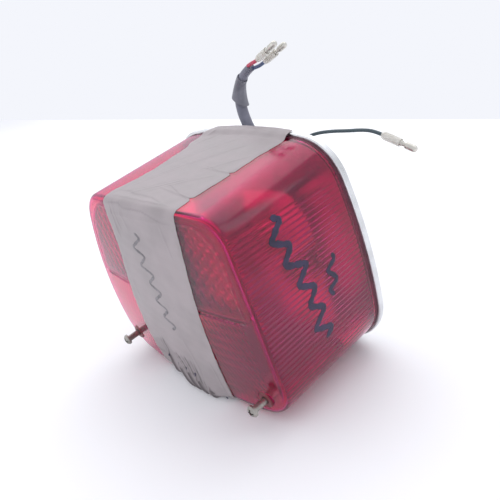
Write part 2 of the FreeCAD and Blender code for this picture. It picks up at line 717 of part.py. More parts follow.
def make_filament(side, place):
    """Glass stem with two wire posts that carry a tail filament and a brighter stop filament."""
    stem = doc.addObject("Part::Cylinder", f"stem_{side}")
    stem.setExpression("Radius", "dims.stem_radius")
    stem.setExpression("Height", "14")
    stem.Placement = Placement(Vector(0, dim("cap_rear") - 3.2, 0), Rotation(Vector(1, 0, 0), 90))
    shapes = [stem]
    for index, sign in enumerate((1, -1)):
        foot = doc.addObject("Part::Cylinder", f"wire_foot_{side}_{index}")
        post = doc.addObject("Part::Cylinder", f"wire_post_{side}_{index}")
        reach = dim("filament_half")
        start = Vector(sign * 1.5, dim("cap_rear") - 15.5, 0)
        knee = Vector(sign * reach, dim("glass_centre") + 11, 0)
        run = knee - start
        for wire, length, place_at, direction in (
                (foot, run.Length + 0.3, start, run),
                (post, 13.0, knee, Vector(0, -1, 0))):
            wire.setExpression("Radius", "dims.post_wire")
            wire.Height = length
            wire.Placement = Placement(place_at, Rotation(Vector(0, 0, 1), direction))
            shapes.append(wire)
    for index, height in enumerate((-2.0, 2.5)):
        bar = doc.addObject("Part::Cylinder", f"filament_bar_{side}_{index}")
        bar.setExpression("Radius", "dims.post_wire")
        bar.setExpression("Height", "2 * dims.filament_half")
        place_at = Vector(-dim("filament_half"), dim("glass_centre") + height, 0)
        bar.Placement = Placement(place_at, Rotation(Vector(0, 1, 0), 90))
        shapes.append(bar)
    fused = doc.addObject("Part::MultiFuse", f"bulb_filament_{side}")
    fused.Shapes = shapes
    fused.Label = f"bulb_filament_{side}"
    fused.setExpression("Placement.Base.x", place[0])
    return fused


# ---------------------------------------------------------------- harness

# Routes in (x, y, z): the cords leave the boot and the earth terminal behind the base and stand up
# past the rim.
SHEATH_ROUTE = [(-12, 8, 40.5), (-14.5, 8.6, 48), (-19, 9, 57), (-22.6, 9, 67.5), (-22.2, 8.6, 78.5),
                (-17.6, 8.2, 90), (-9, 7.8, 97.4), (-1.5, 7.6, 100.6)]
RED_ROUTE = [(-2.4, 6.4, 101.7), (2.3, 5.8, 103.3), (6.1, 5.4, 103.9), (10.1, 5.2, 105.6)]
BLUE_ROUTE = [(-1.6, 8.8, 99.4), (2.4, 9.6, 99.9), (6.4, 10.1, 101.2), (10.4, 10.3, 102.9)]
EARTH_ROUTE = [(18.4, -6, 46.4), (21.4, -3.6, 50), (25.5, 0.5, 54.4), (32, 5, 58), (40, 7.4, 60),
               (51, 8.2, 60.9), (62, 8.3, 61.2), (72, 8, 62), (79.8, 8, 61.5), (86, 8, 59)]
LEFT_LEAD_ROUTE = [(-32, -4.6, 0), (-29, -2.6, 4), (-22.5, -2.2, 10.5), (-18, -2.4, 18), (-14.2, -3.6, 25.6)]
RIGHT_LEAD_ROUTE = [(32, -4.6, 0), (31, -2.6, 6), (23, -2.2, 15), (9, -2.2, 24), (-2, -2.2, 29),
                    (-7.6, -3.6, 31)]


def cord_path(route, label):
    """Straight runs joined by tangent arcs, each arc as large as its two runs allow."""
    points = [Vector(*point) for point in route]
    edges = []
    radii = []
    last = points[0]
    for before, point, after in zip(points, points[1:], points[2:]):
        arriving = (point - before).normalize()
        leaving = (after - point).normalize()
        turn = arriving.getAngle(leaving)
        reach = 0.45 * min((point - before).Length, (after - point).Length)
        radii.append(reach / math.tan(turn / 2))
        start = point - arriving * reach
        end = point + leaving * reach
        inward = (leaving - arriving).normalize()
        middle = point + inward * (radii[-1] / math.cos(turn / 2) - radii[-1])
        edges.append(Part.LineSegment(last, start).toShape())
        edges.append(Part.Arc(start, middle, end).toShape())
        last = end
    edges.append(Part.LineSegment(last, points[-1]).toShape())
    length = sum(edge.Length for edge in edges)
    print(f"{label}: length {length:.1f} mm, radii", " ".join(f"{radius:.1f}" for radius in radii))
    return edges


def tube_along(edges, radius):
    wire = Part.Wire(edges)
    start = edges[0].Vertexes[0].Point
    section = Part.Wire([Part.Circle(start, edges[0].tangentAt(edges[0].FirstParameter), radius).toShape()])
    return wire.makePipeShell([section], True, False)


def make_cord(label, route, radius_alias):
    radius = dim(radius_alias)
    edges = cord_path(route, label)
    cord = doc.addObject("Part::Feature", label)
    cord.Label = label
    cord.Shape = tube_along(edges, radius)
    cord.Placement = Placement()
    swept = math.pi * radius ** 2 * sum(edge.Length for edge in edges)
    if abs(cord.Shape.Volume / swept - 1) > 0.01:
        raise RuntimeError(f"{label} has the wrong volume")
    return cord


def make_wrap():
    """Loose sleeve round the sheath's bend."""
    edges = cord_path(SHEATH_ROUTE, "harness_wrap")[8:11]
    outer, bore = dim("wrap_radius", "wrap_bore")
    wrap = doc.addObject("Part::Feature", "harness_wrap")
    wrap.Label = "harness_wrap"
    wrap.Shape = tube_along(edges, outer).cut(tube_along(edges, bore))
    wrap.Placement = Placement()
    return wrap


def aimed(body, route):
    """Put a body's -Y axis along the last run of a cord, from the cord's end."""
    end = Vector(*route[-1])
    direction = end - Vector(*route[-2])
    for axis in "xyz":
        body.setExpression(f"Placement.Base.{axis}", None)
    body.Placement = Placement(end, Rotation(Vector(0, -1, 0), direction))
    return body


def make_bullet(colour, route):
    """Crimped bullet pin on the end of a lead, and the clear sleeve over its barrel."""
    barrel, tip, length = "dims.pin_barrel", "dims.pin_tip", "dims.pin_long"
    pin = revolved(f"bullet_pin_{colour}", [
        ("0", "0"), (barrel, "0"), (barrel, f"5.4 - {length}"), (tip, f"5 - {length}"),
        (tip, f"1.6 - {length}"), (f"{tip} - 0.8", f"0.3 - {length}"), ("0", f"-{length}"),
    ])
    back, front = "dims.sleeve_back", "dims.sleeve_back - dims.sleeve_long"
    bore, outer = "dims.sleeve_bore", "dims.sleeve_radius"
    sleeve = revolved(f"bullet_sleeve_{colour}", [(bore, back), (outer, back), (outer, front), (bore, front)])
    return [aimed(pin, route), aimed(sleeve, route)]


def make_harness_boot():
    """Moulded elbow: a round plug through the base and an upright neck round the sheath."""
    body = revolved("harness_boot", [
        ("0", "dims.floor_front + 0.1"), ("dims.hole_radius - 0.2", "dims.floor_front + 0.1"),
        ("dims.hole_radius - 0.1", "dims.base_rear"), ("dims.boot_radius", "dims.base_rear"),
        ("dims.boot_radius", "dims.boot_rear - 1"), ("dims.boot_radius - 2.5", "dims.boot_rear + 4"),
        ("0", "dims.boot_rear + 4.6"),
    ], ("dims.boot_x", "0", "dims.boot_z"))
    neck = sketch_on(body, "boot_neck", "XY_Plane")
    draw_circle(neck, "dims.boot_neck", "0", "dims.boot_rear")
    body.Tip = add_feature(body, "Pad", neck, Length="8.4", TaperAngle=-3.0)
    return body


def make_earth_screw():
    return revolved("earth_screw", [
        ("0", "dims.floor_front + 0.3"), ("dims.earth_screw_radius", "dims.floor_front + 0.3"),
        ("dims.earth_screw_radius", "dims.base_rear + dims.terminal_thick"),
        ("dims.earth_head_radius", "dims.base_rear + dims.terminal_thick"),
        ("dims.earth_head_radius", "dims.base_rear + dims.terminal_thick + 1.4"),
        ("dims.earth_head_radius - 1.2", "dims.base_rear + dims.terminal_thick + 2.2"),
        ("0", "dims.base_rear + dims.terminal_thick + 2.4"),
    ], ("dims.earth_x", "0", "dims.earth_z"))


def make_earth_terminal():
    """Ring tag under the earth screw, with a rising crimp barrel that holds the earth lead."""
    body = new_body("earth_terminal", ("dims.earth_x", "0", "dims.earth_z"))
    rear = "dims.base_rear + dims.terminal_thick"
    pad(body, "tag_ring", "dims.terminal_thick", rear,
        lambda sketch: draw_circle(sketch, "dims.terminal_ring"))
    pad(body, "tag_tongue", "dims.terminal_thick", rear,
        lambda sketch: draw_polygon(sketch, [("1", "3.4"), ("3.4", "1"), ("6.4", "4.6"), ("4.6", "6.4")]))
    body.Tip = cut(body, "tag_hole", "10", "0",
                   lambda sketch: draw_circle(sketch, "dims.earth_screw_radius + 0.1"))
    return body


# ---------------------------------------------------------------- assembly and export

sub_parts = [
    make_lens_shell(),
    make_panel("reflex_panel", "dims.panel_front", "dims.panel_thick"),
    make_panel("reflex_backing", "dims.panel_front + dims.panel_thick + dims.backing_gap",
               "dims.backing_thick"),
    make_tape_band(),
    make_base_housing(),
    make_lens_gasket(),
    make_inner_reflector(),
    make_harness_boot(),
    make_earth_screw(),
    make_earth_terminal(),
    make_cord("harness_sheath", SHEATH_ROUTE, "sheath_radius"),
    make_wrap(),
    make_cord("lead_red", RED_ROUTE, "lead_radius"),
    make_cord("lead_blue", BLUE_ROUTE, "lead_radius"),
    make_cord("earth_lead", EARTH_ROUTE, "earth_radius"),
    make_cord("inner_lead_left", LEFT_LEAD_ROUTE, "lead_radius"),
    make_cord("inner_lead_right", RIGHT_LEAD_ROUTE, "lead_radius"),
]
for side, sign in (("right", ""), ("left", "-")):
    sub_parts.append(make_screw_seal(side, f"{sign}dims.screw_x"))
    sub_parts.append(make_lens_screw(side, f"{sign}dims.screw_x"))
    sub_parts += make_lamp(side, f"{sign}dims.lamp_x")
for colour, route in (("red", RED_ROUTE), ("blue", BLUE_ROUTE), ("earth", EARTH_ROUTE)):
    sub_parts += make_bullet(colour, route)
sub_parts += make_studs_and_pads()
doc.recompute()

for item in doc.Objects:
    if "Invalid" in item.State or "Error" in item.State:
        raise RuntimeError(f"{item.Label}: {item.State}")
for item in sub_parts:
    if item.Shape.isNull() or not item.Shape.isValid():
        raise RuntimeError(f"{item.Label} has no valid shape")

os.makedirs("parts", exist_ok=True)
for item in sub_parts:
    item.Shape.exportStep(f"parts/{item.Label}.step")
print(len(sub_parts), "sub-parts written")
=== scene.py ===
"""Looks of the motorcycle tail light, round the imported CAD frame: lens, tape, base, harness and lamps."""
import json
import math

import bmesh
import bpy
import numpy as np
from mathutils import Matrix, Vector


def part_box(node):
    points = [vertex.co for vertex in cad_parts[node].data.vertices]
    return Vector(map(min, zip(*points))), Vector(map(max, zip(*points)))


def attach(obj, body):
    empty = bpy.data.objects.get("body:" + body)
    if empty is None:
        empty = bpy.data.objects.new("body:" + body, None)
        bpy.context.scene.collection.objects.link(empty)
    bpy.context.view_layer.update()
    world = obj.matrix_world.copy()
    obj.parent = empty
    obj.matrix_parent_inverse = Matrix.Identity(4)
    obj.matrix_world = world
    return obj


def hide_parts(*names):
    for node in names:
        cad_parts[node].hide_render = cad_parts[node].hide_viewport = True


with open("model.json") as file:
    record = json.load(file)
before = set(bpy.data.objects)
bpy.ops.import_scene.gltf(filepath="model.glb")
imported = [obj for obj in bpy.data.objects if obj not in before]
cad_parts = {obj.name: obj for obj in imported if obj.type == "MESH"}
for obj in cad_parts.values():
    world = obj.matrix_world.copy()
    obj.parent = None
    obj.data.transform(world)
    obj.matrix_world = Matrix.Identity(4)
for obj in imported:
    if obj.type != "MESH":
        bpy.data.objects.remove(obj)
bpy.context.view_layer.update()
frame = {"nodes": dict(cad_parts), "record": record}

MM = 0.001
DOME_STEP_X, DOME_STEP_Z = 3.7, 2.95
NODES = frame["nodes"]
SLOT_OF = {part["node"]: part["material_slot"] for part in frame["record"]["subparts"]}
COLOUR_OF = {entry["slot"]: entry["base_color"] for entry in frame["record"]["materials"]}

# ---------------------------------------------------------------- camera


def make_camera():
    """At the photograph's angle: from the right and above, rolled so that the lamp leans left."""
    data = bpy.data.cameras.new("camera")
    data.sensor_width = 36.0
    data.lens = 41.0
    data.clip_start = 0.01
    camera = bpy.data.objects.new("camera", data)
    bpy.context.scene.collection.objects.link(camera)
    right = Vector((0.6525, 0.706, -0.2752)).normalized()
    back = Vector((0.7388, -0.512, 0.4383)).normalized()
    up = back.cross(right).normalized()
    right = up.cross(back)
    turn = Matrix((right, up, back)).transposed().to_4x4()
    camera.matrix_world = Matrix.Translation((0.2668, -0.2195, 0.1561)) @ turn
    bpy.context.scene.camera = camera


make_camera()

# ---------------------------------------------------------------- materials


class Shader:
    """A Principled material put together from procedural layers."""

    def __init__(self, name, colour, roughness, metallic=0.0, **sockets):
        self.material = bpy.data.materials.new(name)
        self.material.use_nodes = True
        self.nodes = self.material.node_tree.nodes
        self.links = self.material.node_tree.links
        self.principled = self.nodes["Principled BSDF"]
        self.principled.inputs["Base Color"].default_value = (*colour[:3], 1.0)
        self.principled.inputs["Roughness"].default_value = roughness
        self.principled.inputs["Metallic"].default_value = metallic
        for socket, value in sockets.items():
            self.principled.inputs[socket.replace("_", " ")].default_value = value
        coordinates = self.nodes.new("ShaderNodeTexCoord")
        self.place = coordinates.outputs["Object"]
        self.height = None

    def texture(self, kind="Noise", scale=100.0, stretch=(1, 1, 1), **settings):
        """A texture in object space; stretch scales its grain along each axis."""
        mapping = self.nodes.new("ShaderNodeMapping")
        mapping.inputs["Scale"].default_value = stretch
        self.links.new(self.place, mapping.inputs["Vector"])
        texture = self.nodes.new(f"ShaderNodeTex{kind}")
        texture.inputs["Scale"].default_value = scale
        for name, value in settings.items():
            if name in texture.inputs:
                texture.inputs[name].default_value = value
            else:
                setattr(texture, name, value)
        self.links.new(mapping.outputs["Vector"], texture.inputs["Vector"])
        return texture.outputs[0]

    def ramp(self, source, low, high, start=0.35, end=0.65):
        """Two colours or two numbers blended by a texture."""
        ramp = self.nodes.new("ShaderNodeMapRange")
        ramp.inputs["From Min"].default_value = start
        ramp.inputs["From Max"].default_value = end
        ramp.clamp = True
        self.links.new(source, ramp.inputs["Value"])
        if isinstance(low, (int, float)):
            ramp.inputs["To Min"].default_value = low
            ramp.inputs["To Max"].default_value = high
            return ramp.outputs["Result"]
        mix = self.nodes.new("ShaderNodeMix")
        mix.data_type = "RGBA"
        self.links.new(ramp.outputs["Result"], mix.inputs["Factor"])
        mix.inputs["A"].default_value = (*low, 1.0)
        mix.inputs["B"].default_value = (*high, 1.0)
        return mix.outputs["Result"]

    def colour(self, source, low, high, start=0.35, end=0.65):
        self.links.new(self.ramp(source, low, high, start, end), self.principled.inputs["Base Color"])
        return self

    def spots(self, source, tint, start=0.6, end=0.7):
        """Paints a tint over the colour so far where the source is high."""
        socket = self.principled.inputs["Base Color"]
        mask = self.ramp(source, 0.0, 1.0, start, end)
        mix = self.nodes.new("ShaderNodeMix")
        mix.data_type = "RGBA"
        self.links.new(mask, mix.inputs["Factor"])
        if socket.is_linked:
            self.links.new(socket.links[0].from_socket, mix.inputs["A"])
        else:
            mix.inputs["A"].default_value = socket.default_value
        mix.inputs["B"].default_value = (*tint, 1.0)
        self.links.new(mix.outputs["Result"], socket)
        return self

    def lattice(self, step_x, step_z):
        """1 at the points of a staggered lattice in x and z, -1 half-way between them."""
        apart = self.nodes.new("ShaderNodeSeparateXYZ")
        self.links.new(self.place, apart.inputs["Vector"])
        product = self.nodes.new("ShaderNodeMath")
        product.operation = "MULTIPLY"
        for index, (axis, step) in enumerate((("X", step_x), ("Z", step_z))):
            turn = self.nodes.new("ShaderNodeMath")
            turn.operation = "MULTIPLY"
            turn.inputs[1].default_value = math.pi / step
            self.links.new(apart.outputs[axis], turn.inputs[0])
            wave = self.nodes.new("ShaderNodeMath")
            wave.operation = "COSINE"
            self.links.new(turn.outputs["Value"], wave.inputs[0])
            self.links.new(wave.outputs["Value"], product.inputs[index])
        return product.outputs["Value"]

    def roughness(self, source, low, high, start=0.35, end=0.65):
        self.links.new(self.ramp(source, low, high, start, end), self.principled.inputs["Roughness"])
        return self

    def bump(self, source, depth):
        """Adds a layer of relief; depth is in metres."""
        bump = self.nodes.new("ShaderNodeBump")
        bump.inputs["Distance"].default_value = depth
        bump.inputs["Strength"].default_value = 1.0
        self.links.new(source, bump.inputs["Height"])
        if self.height is not None:
            self.links.new(self.height, bump.inputs["Normal"])
        self.height = bump.outputs["Normal"]
        self.links.new(self.height, self.principled.inputs["Normal"])
        return self


def shade(colour, factor):
    return tuple(min(1.0, channel * factor) for channel in colour[:3])


def metal(slot, roughness, grain=(1, 1, 1), scale=900.0, tarnish=0.55, relief=0.00001):
    """Worn metal: fine grain along one axis, blotchy tarnish and uneven polish."""
    colour = COLOUR_OF[slot]
    shader = Shader(slot, colour, roughness, 1.0)
    blotch = shader.texture(scale=90.0, Detail=6.0)
    fine = shader.texture(scale=scale, stretch=grain, Detail=4.0)
    shader.colour(blotch, shade(colour, tarnish), shade(colour, 1.05), 0.3, 0.6)
    shader.roughness(fine, roughness * 0.75, roughness * 1.35)
    shader.bump(fine, relief).bump(blotch, relief * 2)
    return shader.material


def rubber(slot, roughness=0.62, scale=700.0, colour=None):
    """Matte rubber with fine pores and a dusty bloom."""
    colour = colour or COLOUR_OF[slot]
    shader = Shader(slot, colour, roughness)
    bloom = shader.texture(scale=120.0, Detail=8.0)
    pores = shader.texture(scale=scale, Detail=3.0)
    shader.colour(bloom, colour[:3], tuple(channel * 1.3 + 0.03 for channel in colour[:3]), 0.45, 0.8)
    shader.roughness(bloom, roughness - 0.12, roughness + 0.12)
    shader.bump(pores, 0.00003)
    return shader.material


def plastic(slot, roughness, mottle=0.85, colour=None):
    """Moulded plastic, slightly blotchy."""
    colour = colour or COLOUR_OF[slot]
    shader = Shader(slot, colour, roughness)
    blotch = shader.texture(scale=110.0, Detail=5.0)
    shader.colour(blotch, shade(colour, mottle), colour[:3])
    shader.roughness(blotch, roughness * 0.8, roughness * 1.25)
    shader.bump(shader.texture(scale=500.0, Detail=3.0), 0.00001)
    return shader.material


def lens_material():
    """Clear red moulding, slightly hazed by age, still glossy."""
    shader = Shader("lens_red", (0.88, 0.006, 0.26), 0.13, 0.0, Transmission_Weight=0.97, IOR=1.49,
                    Specular_IOR_Level=0.38)
    haze = shader.texture(scale=45.0, Detail=3.0)
    shader.colour(haze, (0.84, 0.005, 0.24), (0.92, 0.007, 0.28))
    shader.roughness(haze, 0.10, 0.16)
    return shader.material


def mottled(name, colour, roughness, grain, low, high, pores=None):
    """Plain material between two tones; grain is (scale, detail), pores (scale, depth in metres)."""
    shader = Shader(name, colour, roughness)
    shader.colour(shader.texture(scale=grain[0], Detail=grain[1]), low, high)
    if pores:
        shader.bump(shader.texture(scale=pores[0], Detail=3.0), pores[1])
    return shader.material


def panel_material():
    """Red reflector plate, with a painted highlight on the middle of each dome, so the dome tops read
    brighter than the plate.
    """
    shader = Shader("reflex_red", (0.70, 0.03, 0.18), 0.32, 0.0, Specular_IOR_Level=0.8)
    shader.colour(shader.texture(scale=90.0, Detail=5.0), (0.42, 0.014, 0.13), (0.58, 0.024, 0.18))
    # painted highlight: a bright pink-red tint on the lattice points, over the tops of the domes
    shader.spots(shader.lattice(DOME_STEP_X * MM, DOME_STEP_Z * MM), (1.0, 0.24, 0.55), 0.35, 0.75)
    shader.roughness(shader.texture(scale=220.0, Detail=4.0), 0.22, 0.38)
    return shader.material


def tape_material():
    """Grey-beige plastic tape with a soft sheen, fine crepe and faint weave, and painted shade along its
    folds.
    """
    shader = Shader("tape_grey", (0.35, 0.32, 0.335), 0.42, 0.0, Specular_IOR_Level=0.45)
    blotch = shader.texture(scale=55.0, Detail=6.0)
    crepe = shader.texture(scale=260.0, stretch=(1.0, 3.0, 3.0), Detail=5.0)
    weave = shader.texture("Wave", scale=420.0, wave_type="BANDS", bands_direction="X", Distortion=1.5)
    shader.colour(blotch, (0.312, 0.275, 0.281), (0.378, 0.331, 0.341))
    # painted shade: a vertex attribute darkens the tape along its folds and pleats
    fold = shader.nodes.new("ShaderNodeAttribute")
    fold.attribute_name = "fold_shade"
    shader.spots(fold.outputs["Fac"], (0.10, 0.085, 0.09), 0.0, 1.0)
    shader.roughness(blotch, 0.36, 0.52)
    shader.bump(crepe, 0.00005).bump(weave, 0.000012)
    return shader.material


def clear_vinyl():
    """Cloudy clear vinyl, thin enough that the pin shows through it."""
    shader = Shader("sleeve_clear", (0.82, 0.79, 0.72), 0.25, 0.0, Alpha=0.6)
    haze = shader.texture(scale=300.0, Detail=2.0)
    shader.colour(haze, (0.74, 0.71, 0.64), (0.90, 0.88, 0.83))
    shader.roughness(haze, 0.20, 0.32)
    return shader.material


def bulb_glass_material():
    shader = Shader("bulb_clear", (0.97, 0.98, 0.98), 0.02, 0.0, Transmission_Weight=1.0, IOR=1.46)
    smear = shader.texture(scale=140.0, Detail=4.0)
    shader.roughness(smear, 0.01, 0.05)
    shader.bump(smear, 0.000005)
    return shader.material


MATERIALS = {
    "lens_red": lens_material(),
    "reflex_red": panel_material(),
    "backing_silver": metal("backing_silver", 0.3),
    "tape_grey": tape_material(),
    "cast_alloy": metal("cast_alloy", 0.34, scale=1400.0, tarnish=0.87, relief=0.00002),
    # black rubber, with a painted red tint standing in for the lens's red edge it is seen through
    "gasket_rubber": mottled("gasket_rubber", (0.09, 0.010, 0.028), 0.5, (150.0, 6.0), (0.07, 0.008, 0.022),
                             (0.13, 0.016, 0.04), (700.0, 0.00002)),
    "tray_bright": metal("tray_bright", 0.14, tarnish=0.8),
    "boot_rubber": rubber("boot_rubber"),
    "plated_steel": metal("plated_steel", 0.32, tarnish=0.6),
    "sheath_vinyl": rubber("sheath_vinyl", 0.40, 300.0, (0.135, 0.135, 0.175)),
    "wrap_black": rubber("wrap_black", 0.4, 220.0, (0.15, 0.15, 0.18)),
    "lead_red": plastic("lead_red", 0.35, colour=(0.52, 0.045, 0.10)),
    "lead_blue": plastic("lead_blue", 0.35, colour=(0.085, 0.125, 0.24)),
    "lead_earth": plastic("lead_earth", 0.38, colour=(0.055, 0.085, 0.10)),
    "pad_rubber": rubber("pad_rubber"),
    "seal_rubber": rubber("seal_rubber", 0.4),
    "screw_steel": metal("screw_steel", 0.36, tarnish=0.45, relief=0.00003),
    "socket_steel": metal("socket_steel", 0.28, grain=(0.2, 1, 0.2)),
    "spring_steel": metal("spring_steel", 0.3),
    "board_brown": plastic("board_brown", 0.5, mottle=0.6),
    "contact_brass": metal("contact_brass", 0.25),
    "bulb_brass": metal("bulb_brass", 0.22, grain=(0.2, 1, 0.2)),
    "bulb_clear": bulb_glass_material(),
    "filament_wire": metal("filament_wire", 0.3),
    "bullet_metal": metal("bullet_metal", 0.35, scale=200.0, tarnish=0.7, relief=0.0000005),
    "sleeve_clear": clear_vinyl(),
}

for node, thing in NODES.items():
    thing.data.materials.clear()
    thing.data.materials.append(MATERIALS[SLOT_OF[node]])

# ---------------------------------------------------------------- mesh helpers


def link(name, mesh, slot, body):
    mesh.materials.append(MATERIALS[slot])
    thing = bpy.data.objects.new(name, mesh)
    bpy.context.scene.collection.objects.link(thing)
    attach(thing, body)
    return thing


def new_object(name, vertices, faces, slot, body, smooth=True):
    mesh = bpy.data.meshes.new(name)
    mesh.from_pydata([tuple(vertex) for vertex in vertices], [], [tuple(face) for face in faces])
    mesh.validate()
    mesh.polygons.foreach_set("use_smooth", [smooth] * len(mesh.polygons))
    return link(name, mesh, slot, body)


def grid_faces(rows, columns, start=0, wrap=False, flip=False, close=False):
    """Quads of a grid; wrap joins its last column to the first, close its last row to the first."""
    faces = []
    for row in range(rows if close else rows - 1):
        for column in range(columns if wrap else columns - 1):
            following = (column + 1) % columns
            low, high = start + row * columns, start + (row + 1) % rows * columns
            face = (low + column, low + following, high + following, high + column)
            faces.append(face[::-1] if flip else face)
    return faces


def slab(lower, upper):
    """One closed shell from two grids of points of the same shape, as vertices and faces."""
    rows, columns = lower.shape[:2]
    half = rows * columns
    vertices = np.concatenate((lower.reshape(-1, 3), upper.reshape(-1, 3)))
    faces = grid_faces(rows, columns, flip=True) + grid_faces(rows, columns, start=half)
    border = [column for column in range(columns)] + [row * columns + columns - 1 for row in range(1, rows)]
    border += [(rows - 1) * columns + column for column in range(columns - 2, -1, -1)]
    border += [row * columns for row in range(rows - 2, 0, -1)]
    for place, corner in enumerate(border):
        following = border[(place + 1) % len(border)]
        faces.append((corner, following, half + following, half + corner))
    return vertices, faces


def face_outward(thing, merge=0.0):
    """Joins points closer than merge, in metres, then turns every face outward."""
    shape = bmesh.new()
    shape.from_mesh(thing.data)
    if merge:
        bmesh.ops.remove_doubles(shape, verts=shape.verts, dist=merge)
    bmesh.ops.recalc_face_normals(shape, faces=shape.faces)
    shape.to_mesh(thing.data)
    shape.free()


def smooth_step(value, low, high):
    t = np.clip((value - low) / (high - low), 0.0, 1.0)
    return t * t * (3 - 2 * t)


# ---------------------------------------------------------------- cords


def nurbs(name, route, radius=0.0, taper=None):
    """A curve with the route's points, in metres; taper gives each point its share of the radius."""
    curve = bpy.data.curves.new(name, "CURVE")
    curve.dimensions = "3D"
    curve.resolution_u = 20
    curve.bevel_depth = radius
    curve.bevel_resolution = 6
    curve.use_fill_caps = radius > 0.0
    spline = curve.splines.new("NURBS")
    spline.points.add(len(route) - 1)
    for index, (point, place) in enumerate(zip(spline.points, route)):
        point.co = (*place, 1.0)
        point.radius = taper[index] if taper else 1.0
    spline.order_u = 3
    spline.use_endpoint_u = True
    return curve


def spline_points(route):
    """Points along the route's own spline, read from a curve with no bevel."""
    probe = bpy.data.objects.new("probe", nurbs("probe", route))
    bpy.context.scene.collection.objects.link(probe)
    bpy.context.view_layer.update()
    mesh = bpy.data.meshes.new_from_object(probe.evaluated_get(bpy.context.evaluated_depsgraph_get()))
    points = [vertex.co.copy() for vertex in mesh.vertices]
    bpy.data.objects.remove(probe)
    bpy.data.meshes.remove(mesh)
    return points


SHEATH_ROUTE = [
    (-0.012, 0.008, 0.0405), (-0.0145, 0.0086, 0.048), (-0.019, 0.009, 0.057), (-0.0226, 0.009, 0.0675),
    (-0.0222, 0.0086, 0.0785), (-0.0176, 0.0082, 0.090), (-0.009, 0.0078, 0.0974), (-0.0015, 0.0076, 0.1006)]
RED_ROUTE = [
    (-0.0024, 0.0064, 0.1017), (0.0023, 0.0058, 0.1033), (0.0061, 0.0054, 0.1039), (0.0101, 0.0052, 0.1056)]
BLUE_ROUTE = [
    (-0.0016, 0.0088, 0.0994), (0.0024, 0.0096, 0.0999), (0.0064, 0.0101, 0.1012), (0.0104, 0.0103, 0.1029)]
EARTH_ROUTE = [
    (0.0184, -0.006, 0.0464), (0.0214, -0.0036, 0.050), (0.0255, 0.0005, 0.0544), (0.032, 0.005, 0.058),
    (0.040, 0.0074, 0.060), (0.051, 0.0082, 0.0609), (0.062, 0.0083, 0.0612), (0.072, 0.008, 0.062),
    (0.0798, 0.008, 0.0615), (0.086, 0.008, 0.059)]
LEFT_LEAD_ROUTE = [
    (-0.032, -0.0046, 0.0), (-0.029, -0.0026, 0.004), (-0.0225, -0.0022, 0.0105), (-0.018, -0.0024, 0.018),
    (-0.0142, -0.0036, 0.0256)]
RIGHT_LEAD_ROUTE = [
    (0.032, -0.0046, 0.0), (0.031, -0.0026, 0.006), (0.023, -0.0022, 0.015), (0.009, -0.0022, 0.024),
    (-0.002, -0.0022, 0.029), (-0.0076, -0.0036, 0.031)]
LEAD_RADIUS = 0.0011


def lead(name, route, radius, slot, node, taper=None):
    thing = link(name, nurbs(name, route, radius, taper), slot, "base")
    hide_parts(node)
    return thing


def make_wrap():
    """The loose wrapping on the sheath: flared and open at its lower end, cut aslant, gathered at the top."""
    line = spline_points(SHEATH_ROUTE)
    first, last = 0.60, 0.86
    rings, around = 22, 40
    outer, inner = [], []
    for ring in range(rings):
        share = ring / (rings - 1)
        for column in range(around):
            angle = 2 * math.pi * column / around
            slant = 0.045 * math.cos(angle - 0.6) * (1 - share)
            place = (first + slant + (last - first - slant) * share) * (len(line) - 1)
            index = min(int(place), len(line) - 2)
            centre = line[index].lerp(line[index + 1], place - index)
            along = (line[min(index + 2, len(line) - 1)] - line[max(index - 1, 0)]).normalized()
            aside = along.cross(Vector((0, 1, 0))).normalized()
            away = aside * math.cos(angle) + along.cross(aside) * math.sin(angle)
            pleat = 0.00012 * math.sin(3 * angle + 5 * share) + 0.00008 * math.sin(7 * angle - 3 * share)
            reach = 0.0034 + 0.0018 * (1 - share) ** 1.8 + pleat
            outer.append(centre + away * reach)
            inner.append(centre + away * (reach - 0.0004))
    count = rings * around
    faces = grid_faces(rings, around, wrap=True) + grid_faces(rings, around, count, wrap=True, flip=True)
    for column in range(around):
        following = (column + 1) % around
        faces.append((column, count + column, count + following, following))
        top = count - around
        faces.append((top + following, count + top + following, count + top + column, top + column))
    wrap = new_object("harness_wrap_loose", outer + inner, faces, "wrap_black", "base")
    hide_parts("harness_wrap")
    return wrap


def lathe(name, start, along, profile, slot, closed=False, around=40):
    """A turned piece on the axis from start: profile is (distance along, radius) in millimetres."""
    aside = along.cross(Vector((0, 1, 0))).normalized()
    upward = along.cross(aside)
    vertices = []
    for distance, radius in profile:
        for column in range(around):
            angle = 2 * math.pi * column / around
            away = aside * math.cos(angle) + upward * math.sin(angle)
            vertices.append(start + along * distance * MM + away * radius * MM)
    faces = grid_faces(len(profile), around, wrap=True, close=closed)
    if not closed:
        last = (len(profile) - 1) * around
        faces += [tuple(reversed(range(around))), tuple(range(last, last + around))]
    piece = new_object(name, vertices, faces, slot, "base")
    face_outward(piece)
    piece.data.set_sharp_from_angle(angle=math.radians(40))
    return piece


# (distance along the axis from the lead's end, radius), in millimetres
PIN_PROFILE = [
    (0.0, 1.2), (0.0, 1.5), (10.4, 1.5), (11.0, 1.15), (12.4, 1.1), (12.8, 1.75), (13.4, 1.8), (17.6, 1.8),
    (18.5, 1.5), (19.0, 1.0), (19.25, 0.4)]
SLEEVE_PROFILE = [
    (-1.6, 1.3), (-1.6, 1.6), (-0.6, 2.0), (0.6, 2.2), (9.2, 2.2), (9.5, 2.1), (9.5, 1.9), (0.6, 1.9),
    (-0.5, 1.75), (-1.2, 1.3)]


def make_bullet(colour, route):
    """The crimped bullet pin and its clear sleeve on a lead's end, in line with it."""
    start = Vector(route[-1])
    along = (start - Vector(route[-2])).normalized()
    pin = lathe(f"connector_{colour}", start, along, PIN_PROFILE, "bullet_metal")
    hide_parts(f"bullet_pin_{colour}")
    sleeve = lathe(f"connector_sleeve_{colour}", start, along, SLEEVE_PROFILE, "sleeve_clear", closed=True)
    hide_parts(f"bullet_sleeve_{colour}")
    return [pin, sleeve]


